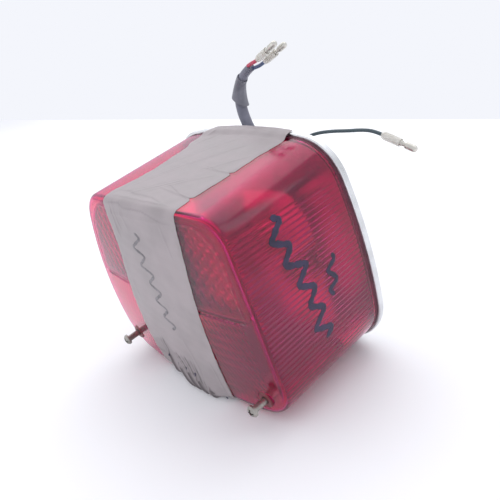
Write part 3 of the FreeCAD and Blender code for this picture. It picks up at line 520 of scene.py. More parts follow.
def make_cords():
    sheath = lead("sheath_cord", SHEATH_ROUTE, 0.0036, "sheath_vinyl", "harness_sheath",
                  (1.0, 1.0, 1.0, 1.0, 1.0, 0.9, 0.74, 0.72))
    red = lead("red_lead", RED_ROUTE, LEAD_RADIUS, "lead_red", "lead_red")
    blue = lead("blue_lead", BLUE_ROUTE, LEAD_RADIUS, "lead_blue", "lead_blue")
    ends = make_bullet("red", RED_ROUTE) + make_bullet("blue", BLUE_ROUTE)
    [make_wrap(), red, blue] + ends
    earth = lead("earth_cord", EARTH_ROUTE, 0.001, "lead_earth", "earth_lead")
    make_bullet("earth", EARTH_ROUTE)
    for side, route, length in (("left", LEFT_LEAD_ROUTE, 0.0318), ("right", RIGHT_LEAD_ROUTE, 0.053)):
        inner = lead(f"inner_cord_{side}", route, LEAD_RADIUS, "lead_red", f"inner_lead_{side}")


make_cords()

# ---------------------------------------------------------------- lens form

# in millimetres, as in the CAD
REAR_Y = (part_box("lens_shell")[1] / MM).y
APEX_Y = -104.0
NOSE_Y = APEX_Y - 1.0
WALL = 2.5
RIDGE_RADIUS = 3.5
CROWN_ACROSS, CROWN_DOWN, CROWN_PLACE = 580.0, 404.0, -10.9
SILL_RADIUS = 1200.0
REAR_FORM = {"wide": 78.1, "side": 289.0, "place": -15.8, "top": 69.3, "lid": 400.0, "bottom": 66.0,
             "upper": 27.5, "lower": 33.7}
NOSE_FORM = {"wide": 81.2, "side": 277.0, "place": -28.8, "top": 60.9, "lid": 1000.0, "bottom": 57.9,
             "upper": 20.0, "lower": 21.8}
SCREW_X, SCREW_Z = 65.0, -44.0
SEAT_Y = -98.0
TUBE_REAR, TUBE_FRONT = -43.7, -97.7


def outline(form, shrink=0.0, counts=(290, 120, 80, 120, 290, 110, 80, 110)):
    """Points round the lens outline as (x, z): four large arcs and four tangent corners, anticlockwise."""
    arms = [((form["wide"] - form["side"], form["place"]), form["side"] - shrink),
            ((0.0, form["top"] - form["lid"]), form["lid"] - shrink),
            ((form["side"] - form["wide"], form["place"]), form["side"] - shrink),
            ((0.0, SILL_RADIUS - form["bottom"]), SILL_RADIUS - shrink)]
    corners = []
    for turn, corner in enumerate(("upper", "upper", "lower", "lower")):
        radius = form[corner] - shrink
        one, two = Vector(arms[turn][0]), Vector(arms[(turn + 1) % 4][0])
        reach_one, reach_two = arms[turn][1] - radius, arms[(turn + 1) % 4][1] - radius
        apart = two - one
        along = (reach_one ** 2 - reach_two ** 2 + apart.length ** 2) / (2 * apart.length)
        aside = math.sqrt(reach_one ** 2 - along ** 2)
        unit = apart.normalized()
        normal = Vector((-unit.y, unit.x))
        quadrant = Vector(((1, -1, -1, 1)[turn], (1, 1, -1, -1)[turn]))
        options = [one + unit * along + normal * aside * sign for sign in (1, -1)]
        corners.append((max(options, key=lambda point: point.dot(quadrant)), radius))

    points = []
    for turn in range(4):
        centre, radius = Vector(arms[turn][0]), arms[turn][1]
        before, after = corners[turn - 1][0], corners[turn][0]
        following = Vector(arms[(turn + 1) % 4][0])
        spans = [(centre, radius, before - centre, after - centre),
                 (after, corners[turn][1], after - centre, after - following)]
        for (middle, size, first, last), count in zip(spans, counts[2 * turn:2 * turn + 2]):
            begin = math.atan2(first.y, first.x)
            finish = math.atan2(last.y, last.x)
            while finish < begin:
                finish += 2 * math.pi
            for step in range(count):
                angle = begin + (finish - begin) * step / count
                points.append((middle.x + size * math.cos(angle), middle.y + size * math.sin(angle)))
    return np.array(points)


def crown(x, z, setback=0.0):
    """The y of the lens front."""
    return APEX_Y + setback + x ** 2 / (2 * CROWN_ACROSS) + (z - CROWN_PLACE) ** 2 / (2 * CROWN_DOWN)


def toward_nose(y):
    """0 at the lens's rear edge, 1 at the nose outline."""
    return (REAR_Y - y) / (REAR_Y - NOSE_Y)


def side_x(y, z):
    """The x of the lens's right side."""
    share = toward_nose(y)
    reach = [form["wide"] - form["side"] + np.sqrt(form["side"] ** 2 - (z - form["place"]) ** 2)
             for form in (REAR_FORM, NOSE_FORM)]
    return reach[0] + (reach[1] - reach[0]) * share


def top_z(x, y):
    share = toward_nose(y)
    high = [form["top"] - form["lid"] + np.sqrt(form["lid"] ** 2 - x ** 2) for form in (REAR_FORM, NOSE_FORM)]
    return high[0] + (high[1] - high[0]) * share


def bottom_z(x, y):
    share = toward_nose(y)
    sill = np.sqrt(SILL_RADIUS ** 2 - x ** 2)
    low = [SILL_RADIUS - form["bottom"] - sill for form in (REAR_FORM, NOSE_FORM)]
    return low[0] + (low[1] - low[0]) * share


def skin(shrink, ridge, side_rows, ridge_rows, insets):
    """Rows of (x, y, z) from the rear edge forward over the rounded ridge, then inward over the front."""
    rear, nose = outline(REAR_FORM, shrink), outline(NOSE_FORM, shrink)

    def ring(y):
        return rear + (nose - rear) * toward_nose(y)[:, None]

    edge = np.full(len(nose), APEX_Y)
    for _ in range(4):
        flat = ring(edge)
        edge = crown(flat[:, 0], flat[:, 1], shrink) + ridge
    centre = np.array((0.0, 1.0))
    rows = []
    for step in range(side_rows):
        y = REAR_Y + (edge - REAR_Y) * step / side_rows
        flat = ring(y)
        rows.append(np.column_stack((flat[:, 0], y, flat[:, 1])))
    flat = ring(edge)
    following = np.roll(flat, -1, axis=0) - np.roll(flat, 1, axis=0)
    normal = np.column_stack((following[:, 1], -following[:, 0]))
    normal /= np.linalg.norm(normal, axis=1)[:, None]
    for step in range(ridge_rows + 1):
        angle = math.pi / 2 * step / ridge_rows
        placed = flat - normal * ridge * (1 - math.cos(angle))
        y = crown(placed[:, 0], placed[:, 1], shrink) + ridge * (1 - math.sin(angle))
        rows.append(np.column_stack((placed[:, 0], y, placed[:, 1])))
    last = rows[-1][:, [0, 2]]
    for inset in insets:
        placed = centre + (last - centre) * max(0.0, 1 - inset / 70.0)
        rows.append(np.column_stack((placed[:, 0], crown(placed[:, 0], placed[:, 1], shrink), placed[:, 1])))
    return rows


# ---------------------------------------------------------------- lens and reflex panel

BORDER = {"wide": 70.5, "low": 7.2, "high": 55.6, "corner": 20.0, "lean": 0.0027}
PANEL_WIDE, PANEL_LOW, PANEL_HIGH, PANEL_CORNER = 65.0, 8.2, 53.5, 20.0
PANEL_FRONT, PANEL_REAR = -92.6, -90.6
LIP_PLACE, LIP_REACH = 5.9, 68.5
BEAD_HEIGHT, CHAIN_HEIGHT, LINE_HEIGHT, GROOVE_DEPTH = 0.16, 0.26, 0.22, 0.5
RIB_PITCH, RIB_HEIGHT = 2.8, 0.22


def border_field(x, z):
    """Distance in from the border of the upper reflex panel as seen on the lens; positive inside."""
    x = np.abs(x) / (1 - BORDER["lean"] * (z - 12.0))
    radius = BORDER["corner"]
    corner_x = x - (BORDER["wide"] - radius)
    corner_z = z - (BORDER["high"] - radius)
    outside = np.hypot(np.maximum(corner_x, 0), np.maximum(corner_z, 0))
    outside = outside + np.minimum(np.maximum(corner_x, corner_z), 0)
    return np.minimum(radius - outside, z - BORDER["low"])


def front_relief(x, z):
    """Optics on the inside of the lens front: pillow beads in the panel, fine vertical chains below it."""
    inside = smooth_step(border_field(x, z), 1.2, 2.6)
    across, down = 2 * DOME_STEP_X, 2 * DOME_STEP_Z
    beads = np.cos(2 * np.pi * x / across) * np.cos(2 * np.pi * z / (2 * down))
    sway = 0.7 * np.sin(2 * np.pi * z / down)
    chains = np.cos(2 * np.pi * (x + sway) / DOME_STEP_X) * (0.55 + 0.45 * np.cos(2 * np.pi * z / down))
    below = 1.0 - smooth_step(z, BORDER["low"] - 3.0, BORDER["low"] - 1.0)
    rim = 1.0 - smooth_step(np.maximum(np.abs(x) / 70.0, np.abs(z) / 56.0), 0.92, 1.0)
    return inside * BEAD_HEIGHT * beads + below * rim * CHAIN_HEIGHT * chains


def lip_groove(x, z):
    """Depth of the shallow groove across the lens front along the panel's lower border."""
    across = 1.0 - smooth_step(np.abs(x), 66.0, 70.0)
    return GROOVE_DEPTH * across * np.exp(-((z - LIP_PLACE) / 0.9) ** 2)


def make_lens():
    front_insets = np.concatenate((np.arange(0.7, 12.0, 0.55), np.arange(12.6, 70.1, 0.9)))
    side_rows, ridge_rows = 14, 8
    outer = skin(0.0, RIDGE_RADIUS, side_rows, ridge_rows, front_insets)
    inner = skin(WALL, RIDGE_RADIUS - WALL, side_rows, ridge_rows, front_insets)
    count = len(outer[0])
    for index in range(len(outer)):
        row = outer[index]
        if index > side_rows + ridge_rows:
            row[:, 1] -= LINE_HEIGHT * np.exp(-(border_field(row[:, 0], row[:, 2]) / 0.5) ** 2)
            row[:, 1] += lip_groove(row[:, 0], row[:, 2])
        row = inner[index]
        x, z = row[:, 0], row[:, 2]
        if index > side_rows + ridge_rows:
            row[:, 1] += front_relief(x, z)
        elif index <= side_rows:
            along = smooth_step(REAR_Y - row[:, 1], 1.0, 4.0)
            fade = along * (1.0 - smooth_step(z, 45.0, 50.0)) * smooth_step(z, -50.0, -44.0)
            row[:, 0] -= np.sign(x) * RIB_HEIGHT * fade * (1 - np.cos(2 * np.pi * z / RIB_PITCH))
    vertices = np.concatenate(outer + inner) * MM
    second = len(outer) * count
    faces = grid_faces(len(outer), count, 0, wrap=True)
    faces += grid_faces(len(inner), count, second, wrap=True, flip=True)
    for column in range(count):
        following = (column + 1) % count
        faces.append((column, second + column, second + following, following))
    lens = new_object("lens", vertices, faces, "lens_red", "lens")
    # the last ring of each skin closes on its centre
    face_outward(lens, merge=0.00002)
    drill_lens(lens)
    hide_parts("lens_shell")


def cylinders_along_y(name, cylinders):
    """One object of several closed cylinders, each (radius, rear, front, x, z)."""
    shape = bmesh.new()
    for radius, rear, front, x, z in cylinders:
        middle = Matrix.Translation((x * MM, (rear + front) / 2 * MM, z * MM))
        across = Matrix.Rotation(math.pi / 2, 4, "X")
        bmesh.ops.create_cone(shape, cap_ends=True, segments=56, radius1=radius * MM, radius2=radius * MM,
                              depth=abs(rear - front) * MM, matrix=middle @ across)
    mesh = bpy.data.meshes.new(name)
    shape.to_mesh(mesh)
    shape.free()
    thing = bpy.data.objects.new(name, mesh)
    bpy.context.scene.collection.objects.link(thing)
    return thing


def combine(target, tool, operation):
    modifier = target.modifiers.new("combine", "BOOLEAN")
    modifier.operation = operation
    modifier.solver = "EXACT"
    modifier.object = tool
    bpy.context.view_layer.update()
    evaluated = target.evaluated_get(bpy.context.evaluated_depsgraph_get())
    mesh = bpy.data.meshes.new_from_object(evaluated)
    target.modifiers.clear()
    target.data = mesh
    bpy.data.objects.remove(tool)


def drill_lens(lens):
    """Screw tubes inside the lens, their bores, and the stepped seats of the two seals."""
    ahead = SEAT_Y - 12.0
    for name, radius, rear, front, operation in (("tubes", 5.0, TUBE_REAR, TUBE_FRONT, "UNION"),
                                                 ("bores", 2.45, TUBE_REAR + 3.7, ahead, "DIFFERENCE"),
                                                 ("seats", 5.05, SEAT_Y, ahead, "DIFFERENCE")):
        pair = [(radius, rear, front, x, SCREW_Z) for x in (SCREW_X, -SCREW_X)]
        combine(lens, cylinders_along_y(name, pair), operation)
    lens.data.polygons.foreach_set("use_smooth", [True] * len(lens.data.polygons))
    lens.data.set_sharp_from_angle(angle=math.radians(40))


def make_reflex_panel():
    """The red reflex panel behind the upper half of the lens front: rows of domes on a flat plate."""
    rows, columns = 150, 360
    z = np.linspace(PANEL_LOW, PANEL_HIGH, rows)[:, None] * np.ones((1, columns))
    rise = np.clip(z - (PANEL_HIGH - PANEL_CORNER), 0.0, PANEL_CORNER)
    wide = PANEL_WIDE - PANEL_CORNER + np.sqrt(np.maximum(PANEL_CORNER ** 2 - rise ** 2, 0.0))
    x = wide * np.linspace(-1.0, 1.0, columns)[None, :]
    edge = np.minimum(np.minimum(wide - np.abs(x), z - PANEL_LOW), PANEL_HIGH - z)
    inside = smooth_step(edge, 0.4, 2.4)
    dome = 0.5 + 0.5 * np.cos(np.pi * x / DOME_STEP_X) * np.cos(np.pi * z / DOME_STEP_Z)
    front = np.stack((x, PANEL_FRONT - 0.9 * inside * dome ** 2, z), axis=2)
    rear = np.stack((x, np.full_like(x, PANEL_REAR), z), axis=2)
    vertices, faces = slab(front * MM, rear * MM)
    panel = new_object("reflex_domes", vertices, faces, "reflex_red", "lens")
    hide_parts("reflex_panel")


def border_ring(wide, low, high, corner, lean, count=60):
    """Points round a panel outline with rounded upper corners, anticlockwise from the lower left."""
    points = [(-wide + 2 * wide * step / count, low) for step in range(count)]
    points += [(wide, low + (high - corner - low) * step / count) for step in range(count)]
    for step in range(count):
        angle = math.pi / 2 * step / count
        points.append((wide - corner + corner * math.cos(angle), high - corner + corner * math.sin(angle)))
    points += [(wide - corner - 2 * (wide - corner) * step / count, high) for step in range(count)]
    for step in range(count):
        angle = math.pi / 2 * (1 + step / count)
        points.append((-wide + corner + corner * math.cos(angle), high - corner + corner * math.sin(angle)))
    points += [(-wide, high - corner - (high - corner - low) * step / count) for step in range(count)]
    points = np.array(points)
    points[:, 0] *= 1 - lean * (points[:, 1] - 12.0)
    return points


def make_reflex_lip():
    """The dark lower edge of the panel, a bar close behind the lens's inner face."""
    x = np.linspace(-LIP_REACH, LIP_REACH, 90)[:, None] * np.ones((1, 6))
    z = np.linspace(LIP_PLACE - 0.6, LIP_PLACE + 0.7, 6)[None, :] * np.ones((90, 1))
    near = np.stack((x, crown(x, z, WALL + 0.35), z), axis=2)
    far = np.stack((x, crown(x, z, WALL + 3.2), z), axis=2)
    vertices, faces = slab(near * MM, far * MM)
    lip = new_object("reflex_lip", vertices, [face[::-1] for face in faces], "reflex_red", "lens")
    lip.data.materials[0] = mottled("lip_dark", (0.05, 0.001, 0.008), 0.35, (200.0, 4.0),
                                    (0.035, 0.001, 0.006), (0.07, 0.002, 0.012))


def make_reflex_border():
    """The wall round the panel, from the plate out to the lens's inner face."""
    walls = []
    for grow in (0.0, -1.1):
        seen = border_ring(BORDER["wide"] + grow, BORDER["low"] - grow, BORDER["high"] + grow,
                           BORDER["corner"] + grow, BORDER["lean"])
        plate = border_ring(PANEL_WIDE + 1.4 + grow, PANEL_LOW - 1.4 - grow, PANEL_HIGH + 1.2 + grow,
                            PANEL_CORNER + grow, 0.0)
        near = np.column_stack((seen[:, 0], crown(seen[:, 0], seen[:, 1], WALL + 0.25), seen[:, 1]))
        far = np.column_stack((plate[:, 0], np.full(len(plate), PANEL_REAR), plate[:, 1]))
        middle = far * 0.5 + near * 0.5
        walls.append([near, middle, far])
    rings = walls[0] + walls[1][::-1]
    vertices = np.concatenate(rings) * MM
    faces = grid_faces(6, len(rings[0]), wrap=True, close=True, flip=True)
    wall = new_object("reflex_border", vertices, faces, "reflex_red", "lens")
    wall.data.materials[0] = mottled("deep_red", (0.35, 0.004, 0.05), 0.3, (200.0, 4.0),
                                     (0.28, 0.003, 0.04), (0.42, 0.006, 0.065))


make_lens()
make_reflex_panel()
make_reflex_border()
make_reflex_lip()

# ---------------------------------------------------------------- tape

TAPE_REAR = -12.4
RIM_GROW = 1.8
TAPE_GAP, TAPE_PLY, EDGE_GAP = 0.12, 0.24, 0.04
PLY_LIFT = TAPE_PLY + 0.05
SECTIONS = (170, 12, 220, 12, 170)
COLUMNS = 121


def tape_rows():
    """Each row's section and share of it, from the rim's top forward, down and back to the rim."""
    rows = []
    for section, count in enumerate(SECTIONS):
        rows += [(section, step / count) for step in range(count)]
    return rows + [(4, 1.0)]


def tape_line(section, share, x):
    """(y, z) on the lens and rim under the tape, at one row, for every x."""
    upper = np.full_like(x, APEX_Y)
    lower = np.full_like(x, APEX_Y)
    for _ in range(3):
        upper = crown(x, top_z(x, upper))
        lower = crown(x, bottom_z(x, lower))
    corner_up, corner_low = top_z(x, upper), bottom_z(x, lower)
    ridge = RIDGE_RADIUS

    def lid(y):
        return top_z(x, y) + RIM_GROW * smooth_step(y, -21.5, -16.1)

    def sill(y):
        return bottom_z(x, y) - RIM_GROW * smooth_step(y, -21.5, -16.1)

    def bend(start, corner, finish):
        return tuple((1 - share) ** 2 * a + 2 * share * (1 - share) * b + share ** 2 * c
                     for a, b, c in zip(start, corner, finish))

    if section == 0:
        y = TAPE_REAR + (upper + ridge - TAPE_REAR) * share
        return y, lid(y)
    if section == 1:
        return bend((upper + ridge, lid(upper + ridge)), (upper, corner_up),
                    (crown(x, corner_up - ridge), corner_up - ridge))
    if section == 2:
        z = corner_up - ridge + (corner_low + ridge - corner_up + ridge) * share
        return crown(x, z), z
    if section == 3:
        return bend((crown(x, corner_low + ridge), corner_low + ridge), (lower, corner_low),
                    (lower + ridge, sill(lower + ridge)))
    y = lower + ridge + (TAPE_REAR - lower - ridge) * share
    return y, sill(y)


# the tape's side edges: (y, x) on the top, (z, x) on the front, (y, left x, right x) underneath
TOP_RIGHT = [
    (-11, 41.2), (-16.8, 41.7), (-24.7, 42.3), (-38.1, 39.9), (-53, 39.1), (-62.7, 38.6), (-75.2, 36.8),
    (-84, 36.0), (-97, 36.0)]
TOP_LEFT = [
    (-11, -25.5), (-15, -27.0), (-18, -33.4), (-30.5, -33.6), (-37, -28.4), (-45, -29.6), (-62, -28.7),
    (-76.5, -32.4), (-90, -38.6), (-96, -37.5)]
FRONT_RIGHT = [(57, 36.4), (40, 36.9), (20, 36.2), (0, 35.4), (-25, 35.2), (-50, 34.6)]
FRONT_LEFT = [(56, -37.0), (42, -33.2), (30, -31.8), (11, -34.7), (-7, -37.6), (-21, -38.2), (-47, -37.6)]
LOW_EDGES = [(-100, -36.5, 34.5), (-60, -35.5, 35.5), (-11, -36.0, 36.0)]


def edge_tables(rows, middle):
    """x of the two side edges at every row, read from the tables above."""
    edges = []
    for top, front, low in ((TOP_LEFT, FRONT_LEFT, 1), (TOP_RIGHT, FRONT_RIGHT, 2)):
        values = []
        for (section, _), (y, z) in zip(rows, middle):
            if section == 0:
                values.append(np.interp(-y, [-row[0] for row in top], [row[1] for row in top]))
            elif section in (1, 2):
                values.append(np.interp(-z, [-row[0] for row in front], [row[1] for row in front]))
            else:
                values.append(np.interp(y, [row[0] for row in LOW_EDGES], [row[low] for row in LOW_EDGES]))
        smooth = np.convolve(np.pad(values, 6, mode="edge"), np.ones(13) / 13, mode="valid")
        edges.append(smooth)
    left, right = edges
    steps = np.arange(len(rows))
    left = left + 0.22 * np.sin(steps * 0.31) + 0.14 * np.sin(steps * 0.83 + 1.0)
    right = right + 0.12 * np.sin(steps * 0.27 + 2.0) + 0.08 * np.sin(steps * 0.91)
    for (section, _), (y, _), row in zip(rows, middle, steps):
        if section == 0:
            right[row] -= 2.1 * math.exp(-((y + 58.3) / 1.0) ** 2) + 1.9 * math.exp(-((y + 84.3) / 0.9) ** 2)
    return left, right


def crease(across, along, start, finish, width, height):
    """A narrow raised fold along one straight stroke, fading at its ends."""
    stroke = np.subtract(finish, start)
    length = float(np.hypot(*stroke))
    unit = stroke / length
    share = ((across - start[0]) * unit[0] + (along - start[1]) * unit[1]) / length
    aside = (across - start[0]) * -unit[1] + (along - start[1]) * unit[0]
    fade = smooth_step(share, -0.02, 0.12) * (1 - smooth_step(share, 0.75, 1.05))
    return height * fade * np.exp(-(aside / width) ** 2)


# folds: start and finish as (x, y) on the top and (x, z) on the front, then width and height
TOP_FOLDS = [
    ((-34, -92.0), (34, -94.0), 1.6, 0.3), ((38, -84.3), (2, -79.5), 0.55, 0.42),
    ((38, -58.3), (12, -57.0), 0.55, 0.36), ((30, -62.0), (-6, -86.0), 0.8, 0.22),
    ((24, -30.0), (-18, -70.0), 1.1, 0.25), ((8, -26.0), (-24, -58.0), 0.9, 0.2),
    ((36, -40.0), (10, -66.0), 0.9, 0.18), ((-14, -20.0), (-26, -34.0), 1.2, 0.4),
    ((-20, -17.0), (-30, -24.0), 0.9, 0.35), ((14, -70.0), (-22, -92.0), 0.7, 0.2),
    ((-4, -60.0), (-28, -84.0), 0.8, 0.22)]
FRONT_FOLDS = [
    ((-34, 53.5), (35, 55.0), 1.0, 0.3), ((-29, 57), (-24.5, 38), 0.45, 0.38),
    ((-26, 57), (-21, 44), 0.5, 0.25), ((-18, 56), (-12, 46), 0.8, 0.15),
    ((-30, 20), (-26, -6), 0.9, 0.12), ((22, 54), (28, 34), 1.0, 0.12),
    ((8, -20), (16, -52), 0.8, 0.14), ((28, -30), (31, -56), 0.7, 0.16)]
# gathers below the torn end, the small gaps in it as (x, z, size), drawn as dark patches of painted shade,
# and its line
PLEATS = [((-20.0, -41.0), (-19.5, -67.0)), ((-10.6, -45.5), (6.8, -66.0)), ((-1.0, -45.0), (9.4, -65.0)),
          ((7.8, -46.0), (17.4, -69.0)), ((18.0, -52.0), (23.5, -68.0)), ((29.0, -58.5), (31.5, -66.0))]
HOLES = [(-10.6, -46.3, 1.7), (-1.0, -45.6, 1.6), (7.8, -46.6, 2.3), (29.0, -58.0, 1.6), (-19.6, -43.0, 1.5)]
END_LINE = [
    (-40, -44.5), (-32, -45.0), (-18, -42.5), (-12, -47.5), (-3, -47.0), (7, -47.5), (18, -54.0), (29, -60.0),
    (40, -60.0)]
BULGE = 3.3


def swell(x, along):
    """Slow unevenness of the whole tape."""
    return (0.10 * np.sin(0.19 * x + 0.11 * along) * np.sin(0.16 * along - 0.07 * x + 1.3)
            + 0.05 * np.sin(0.52 * x - 0.37 * along + 0.4) + 0.04 * np.sin(0.9 * along + 0.21 * x))


def pleat_place(section, y, z):
    """How far down a point lies along the pleats, which run from the front round under the lens."""
    return z - (y + 99.0) / 2 if section == 4 else z


def tape_fold_shade(section, x, y, z):
    """Painted shade along the tape's folds and pleats, with a flat darkening below the torn end, 0 to 1."""
    along = y if section in (0, 4) else z
    fold_shade = np.zeros_like(x)
    folds = TOP_FOLDS if section == 0 else FRONT_FOLDS if section in (1, 2) else ()
    # painted shade darkens one side of each fold
    for start, finish, width, lift in folds:
        fold_shade = fold_shade + crease(x - 0.4 * width, along, start, finish, 0.5 * width, 0.75 * lift)
    if section >= 2:
        end = np.interp(x, [point[0] for point in END_LINE], [point[1] for point in END_LINE])
        fold_shade = fold_shade + 0.22 * (1 - smooth_step(z, end - 1.0, end + 0.2))
        # painted shade along both sides of each pleat
        for start, finish in PLEATS:
            fold_shade = fold_shade + crease(x - 0.7, pleat_place(section, y, z), start, finish, 0.65, 0.8)
            fold_shade = fold_shade + crease(x + 2.6, pleat_place(section, y, z), start, finish, 0.35, 0.5)
    return np.clip(fold_shade, 0.0, 1.0)


def tape_height(section, x, y, z):
    """How far the tape stands off its resting offset."""
    along = y if section in (0, 4) else z
    height = 0.14 + 0.8 * swell(x, along)
    folds = TOP_FOLDS if section == 0 else FRONT_FOLDS if section in (1, 2) else ()
    for start, finish, width, lift in folds:
        height = height + crease(x, along, start, finish, width, lift)
    if section in (2, 3, 4):
        past = {2: z + 54.4, 3: 0.0, 4: y + 99.0}[section]
        across = BULGE * smooth_step(x, -28.0, 0.0) * (1 - smooth_step(x, 18.0, 33.0))
        height = height + across * np.exp(-(past / 11.0) ** 2)
        for start, finish in PLEATS:
            height = height + crease(x, pleat_place(section, y, z), start, finish, 1.1, 1.5)
    return height


def over_under(z):
    """1 where the upper ply lies on the lower one, 0 where it lies on the lens."""
    return 1 - smooth_step(z, -26.0, -18.0)


def make_ply(first, last, lift, cut=None):
    """Both faces of one ply between two rows, and its painted fold shade; cut gives the z where each column
    ends.
    """
    rows = tape_rows()[first:last]
    zero = np.zeros(1)
    middle = [tuple(float(value[0]) for value in tape_line(section, share, zero)) for section, share in rows]
    left, right = edge_tables(rows, middle)
    share_across = np.linspace(0.0, 1.0, COLUMNS)
    base = np.zeros((len(rows), COLUMNS, 3))
    height = np.zeros((len(rows), COLUMNS))
    fold_shade = np.zeros((len(rows), COLUMNS))
    for index, (section, share) in enumerate(rows):
        x = left[index] + (right[index] - left[index]) * share_across
        y, z = tape_line(section, share, x)
        base[index] = np.column_stack((x, y, z))
        height[index] = tape_height(section, x, y, z)
        fold_shade[index] = tape_fold_shade(section, x, y, z)
    if cut is not None:
        kept = np.zeros_like(base)
        heights = np.zeros_like(height)
        for column in range(COLUMNS):
            line = base[:, column]
            end = cut(line[-1, 0], column)
            ends = np.nonzero((line[:, 2] < end) & (np.arange(len(rows)) > 300))[0]
            stop = float(ends[0]) if len(ends) else len(rows) - 1.0
            places = np.linspace(0.0, stop, len(rows))
            for axis in range(3):
                kept[:, column, axis] = np.interp(places, np.arange(len(rows)), line[:, axis])
            heights[:, column] = np.interp(places, np.arange(len(rows)), height[:, column])
        base, height = kept, heights
    down, over = np.gradient(base, axis=0), np.gradient(base, axis=1)
    normal = np.cross(down, over)
    normal /= np.linalg.norm(normal, axis=2)[:, :, None]
    outward = base - np.array((0.0, -50.0, 0.0))
    if np.sum(normal * outward) < 0:
        normal = -normal
    sections = np.array([section for section, _ in rows])
    covered = lift * over_under(base[:, :, 2]) * (sections[:, None] >= 2)
    edge = smooth_step(np.minimum(share_across, 1.0 - share_across), 0.0, 0.03)[None, :]
    lower = base + normal * (EDGE_GAP + covered + (TAPE_GAP - EDGE_GAP + height) * edge)[:, :, None]
    return lower, lower + normal * TAPE_PLY, fold_shade


def serrated_end(x, column):
    """Where the upper ply ends on the front: a torn line falling to the right, with small teeth."""
    line = np.interp(x, [point[0] for point in END_LINE], [point[1] for point in END_LINE])
    return line + (0.55 if column % 4 < 2 else -0.35)


def make_tape():
    total = sum(SECTIONS) + 1
    start = sum(SECTIONS[:2]) + 165
    over = make_ply(0, sum(SECTIONS[:3]) + 6, PLY_LIFT, serrated_end)
    under = make_ply(start, total, 0.0)
    vertices, faces = slab(over[0] * MM, over[1] * MM)
    more, further = slab(under[0] * MM, under[1] * MM)
    faces += [tuple(corner + len(vertices) for corner in face) for face in further]
    tape = new_object("tape", np.concatenate((vertices, more)), faces, "tape_grey", "lens")
    face_outward(tape)
    tape.data.set_sharp_from_angle(angle=math.radians(55))
    fold_shades = np.concatenate([ply[2].ravel() for ply in (over, over, under, under)])
    # the painted fold shade goes onto the mesh as a vertex attribute
    attribute = tape.data.attributes.new("fold_shade", "FLOAT", "POINT")
    attribute.data.foreach_set("value", fold_shades.astype(np.float32))
    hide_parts("tape_band")


make_tape()

# ---------------------------------------------------------------- marker strokes and painted gap shade


def stroke(name, points, width, slot, place, material):
    """A thin marker line along points; place puts them, and a height, on the surface it is drawn on."""
    centre = np.array(points, float)
    steps = np.concatenate(([0.0], np.cumsum(np.hypot(*np.diff(centre, axis=0).T))))
    fine = np.linspace(0.0, steps[-1], max(int(steps[-1] / 0.35), 12))
    line = np.column_stack([np.interp(fine, steps, centre[:, axis]) for axis in range(2)])
    for _ in range(30):
        line[1:-1] = (line[:-2] + 2 * line[1:-1] + line[2:]) / 4
    ahead = np.gradient(line, axis=0)
    aside = np.column_stack((-ahead[:, 1], ahead[:, 0])) / np.hypot(*ahead.T)[:, None]
    swell_line = 1 + 0.12 * np.sin(fine * 1.1) + 0.08 * np.sin(fine * 2.7)
    ends = np.sqrt(np.clip(np.minimum(fine, fine[-1] - fine) / (width / 2), 0.02, 1.0))
    across = np.linspace(-0.5, 0.5, 7)
    lower, upper = [], []
    for spot, away, size in zip(line, aside, width * swell_line * ends):
        for rows, lift in ((lower, 0.02), (upper, 0.06)):
            rows.append([place(*(spot + away * size * share), lift) for share in across])
    vertices, faces = slab(np.array(lower) * MM, np.array(upper) * MM)
    mark = new_object(name, vertices, faces, slot, "lens")
    mark.data.materials[0] = material


def on_side(y, z, lift):
    return (float(side_x(y, z)) + lift, y, z)


def on_tape(x, z, lift):
    covered = PLY_LIFT * float(over_under(z))
    height = float(tape_height(2, np.array([x]), np.array([-100.0]), np.array([z]))[0])
    return (x, float(crown(x, z)) - TAPE_GAP - TAPE_PLY - 0.01 - covered - height - lift, z)


def scribble(start, finish, sways):
    """A to-and-fro line from start to finish, each swing as wide as the next number in sways."""
    start, finish = np.array(start, float), np.array(finish, float)
    ahead = finish - start
    aside = np.array((-ahead[1], ahead[0])) / np.hypot(*ahead)
    turns = [start + ahead * (index + 0.5) / len(sways) + aside * sway * (-1) ** index
             for index, sway in enumerate(sways)]
    corners = np.array([start] + turns + [finish])
    fine = np.linspace(0, len(corners) - 1, 12 * len(corners))
    return np.column_stack([np.interp(fine, np.arange(len(corners)), corners[:, axis]) for axis in range(2)])


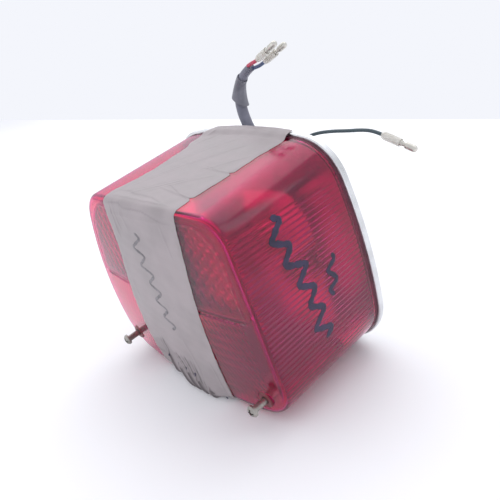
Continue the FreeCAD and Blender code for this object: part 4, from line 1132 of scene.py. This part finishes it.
def make_marks():
    ink_and_gap_shade = mottled("marker_ink_and_gap_shade", (0.05, 0.035, 0.12), 0.45, (160.0, 6.0), (0.012, 0.009, 0.035),
                  (0.030, 0.020, 0.065), (900.0, 0.00001))
    pencil = mottled("faded_ink", (0.13, 0.12, 0.13), 0.5, (260.0, 6.0), (0.13, 0.12, 0.13),
                     (0.27, 0.25, 0.265))
    long_sways = (5.0, 7.0, 3.6, 6.4, 7.4, 4.4, 6.6, 3.4, 6.8, 5.4, 7.0)
    short_sways = (2.6, 4.6, 3.4, 4.2)
    tape_sways = (5.0, 7.0, 4.0, 6.0, 6.6, 3.6, 6.8, 4.8, 5.6, 4.0, 6.0)
    stroke("mark_side_long", scribble((-67, 48), (-60, -26), long_sways), 3.4, "lead_earth", on_side, ink_and_gap_shade)
    stroke("mark_side_short", scribble((-40, 14), (-46, -7), short_sways), 2.6, "lead_earth", on_side, ink_and_gap_shade)
    stroke("mark_tape", scribble((-6, 45), (1, -16), tape_sways), 1.8, "lead_earth", on_tape, pencil)
    # painted shade: dark patches on the tape at the small gaps in the torn end; the tape is not cut open
    # there
    for index, (x, z, size) in enumerate(HOLES):
        ends = [(x - 0.35 * size, z + 0.3 * size), (x + 0.35 * size, z - 0.3 * size)]
        stroke(f"tape_gap_shade_{index}", ends, size, "wrap_black", on_tape, ink_and_gap_shade)


make_marks()

# ---------------------------------------------------------------- stage and light


def make_stage():
    """A wide pale floor that the rim and the lens's lower front edge both touch."""
    slope = math.atan(0.095)
    mesh = bpy.data.meshes.new("floor")
    side, near, far = 3.0, -3.0, 0.50
    corners = [(-side, near, 0), (side, near, 0), (side, far, 0), (-side, far, 0)]
    mesh.from_pydata(corners, [], [(0, 1, 2, 3)])
    floor = bpy.data.objects.new("floor", mesh)
    bpy.context.scene.collection.objects.link(floor)
    floor.matrix_world = Matrix.Translation((0, -0.016, -0.0690)) @ Matrix.Rotation(-slope, 4, "X")
    shader = Shader("floor_pale", (0.8, 0.8, 0.82), 0.7, Specular_IOR_Level=0.2)
    shader.colour(shader.texture(scale=3.0, Detail=2.0), (0.955, 0.95, 0.965), (0.97, 0.965, 0.98))
    mesh.materials.append(shader.material)


def make_light(name, place, target, size, power):
    data = bpy.data.lights.new(name, "AREA")
    data.shape = "RECTANGLE"
    data.size, data.size_y = size
    data.energy = power
    light = bpy.data.objects.new(name, data)
    bpy.context.scene.collection.objects.link(light)
    light.location = place
    light.rotation_euler = (Vector(target) - Vector(place)).to_track_quat("-Z", "Y").to_euler()
    light.visible_camera = False


def make_world():
    world = bpy.data.worlds.new("studio")
    world.use_nodes = True
    world.node_tree.nodes["Background"].inputs["Color"].default_value = (0.905, 0.92, 0.975, 1)
    world.node_tree.nodes["Background"].inputs["Strength"].default_value = 1.0
    bpy.context.scene.world = world
    bpy.context.scene.view_settings.view_transform = "Standard"


make_stage()
make_world()
make_light("overhead", (-0.5, 0.6, 1.1), (0, -0.05, 0), (1.8, 1.4), 8.2)
make_light("fill", (-0.9, -1.1, 0.45), (0, -0.05, -0.02), (1.2, 0.8), 1.2)
make_light("side", (0.75, 0.55, 1.15), (0, -0.05, 0), (0.25, 0.9), 0.8)
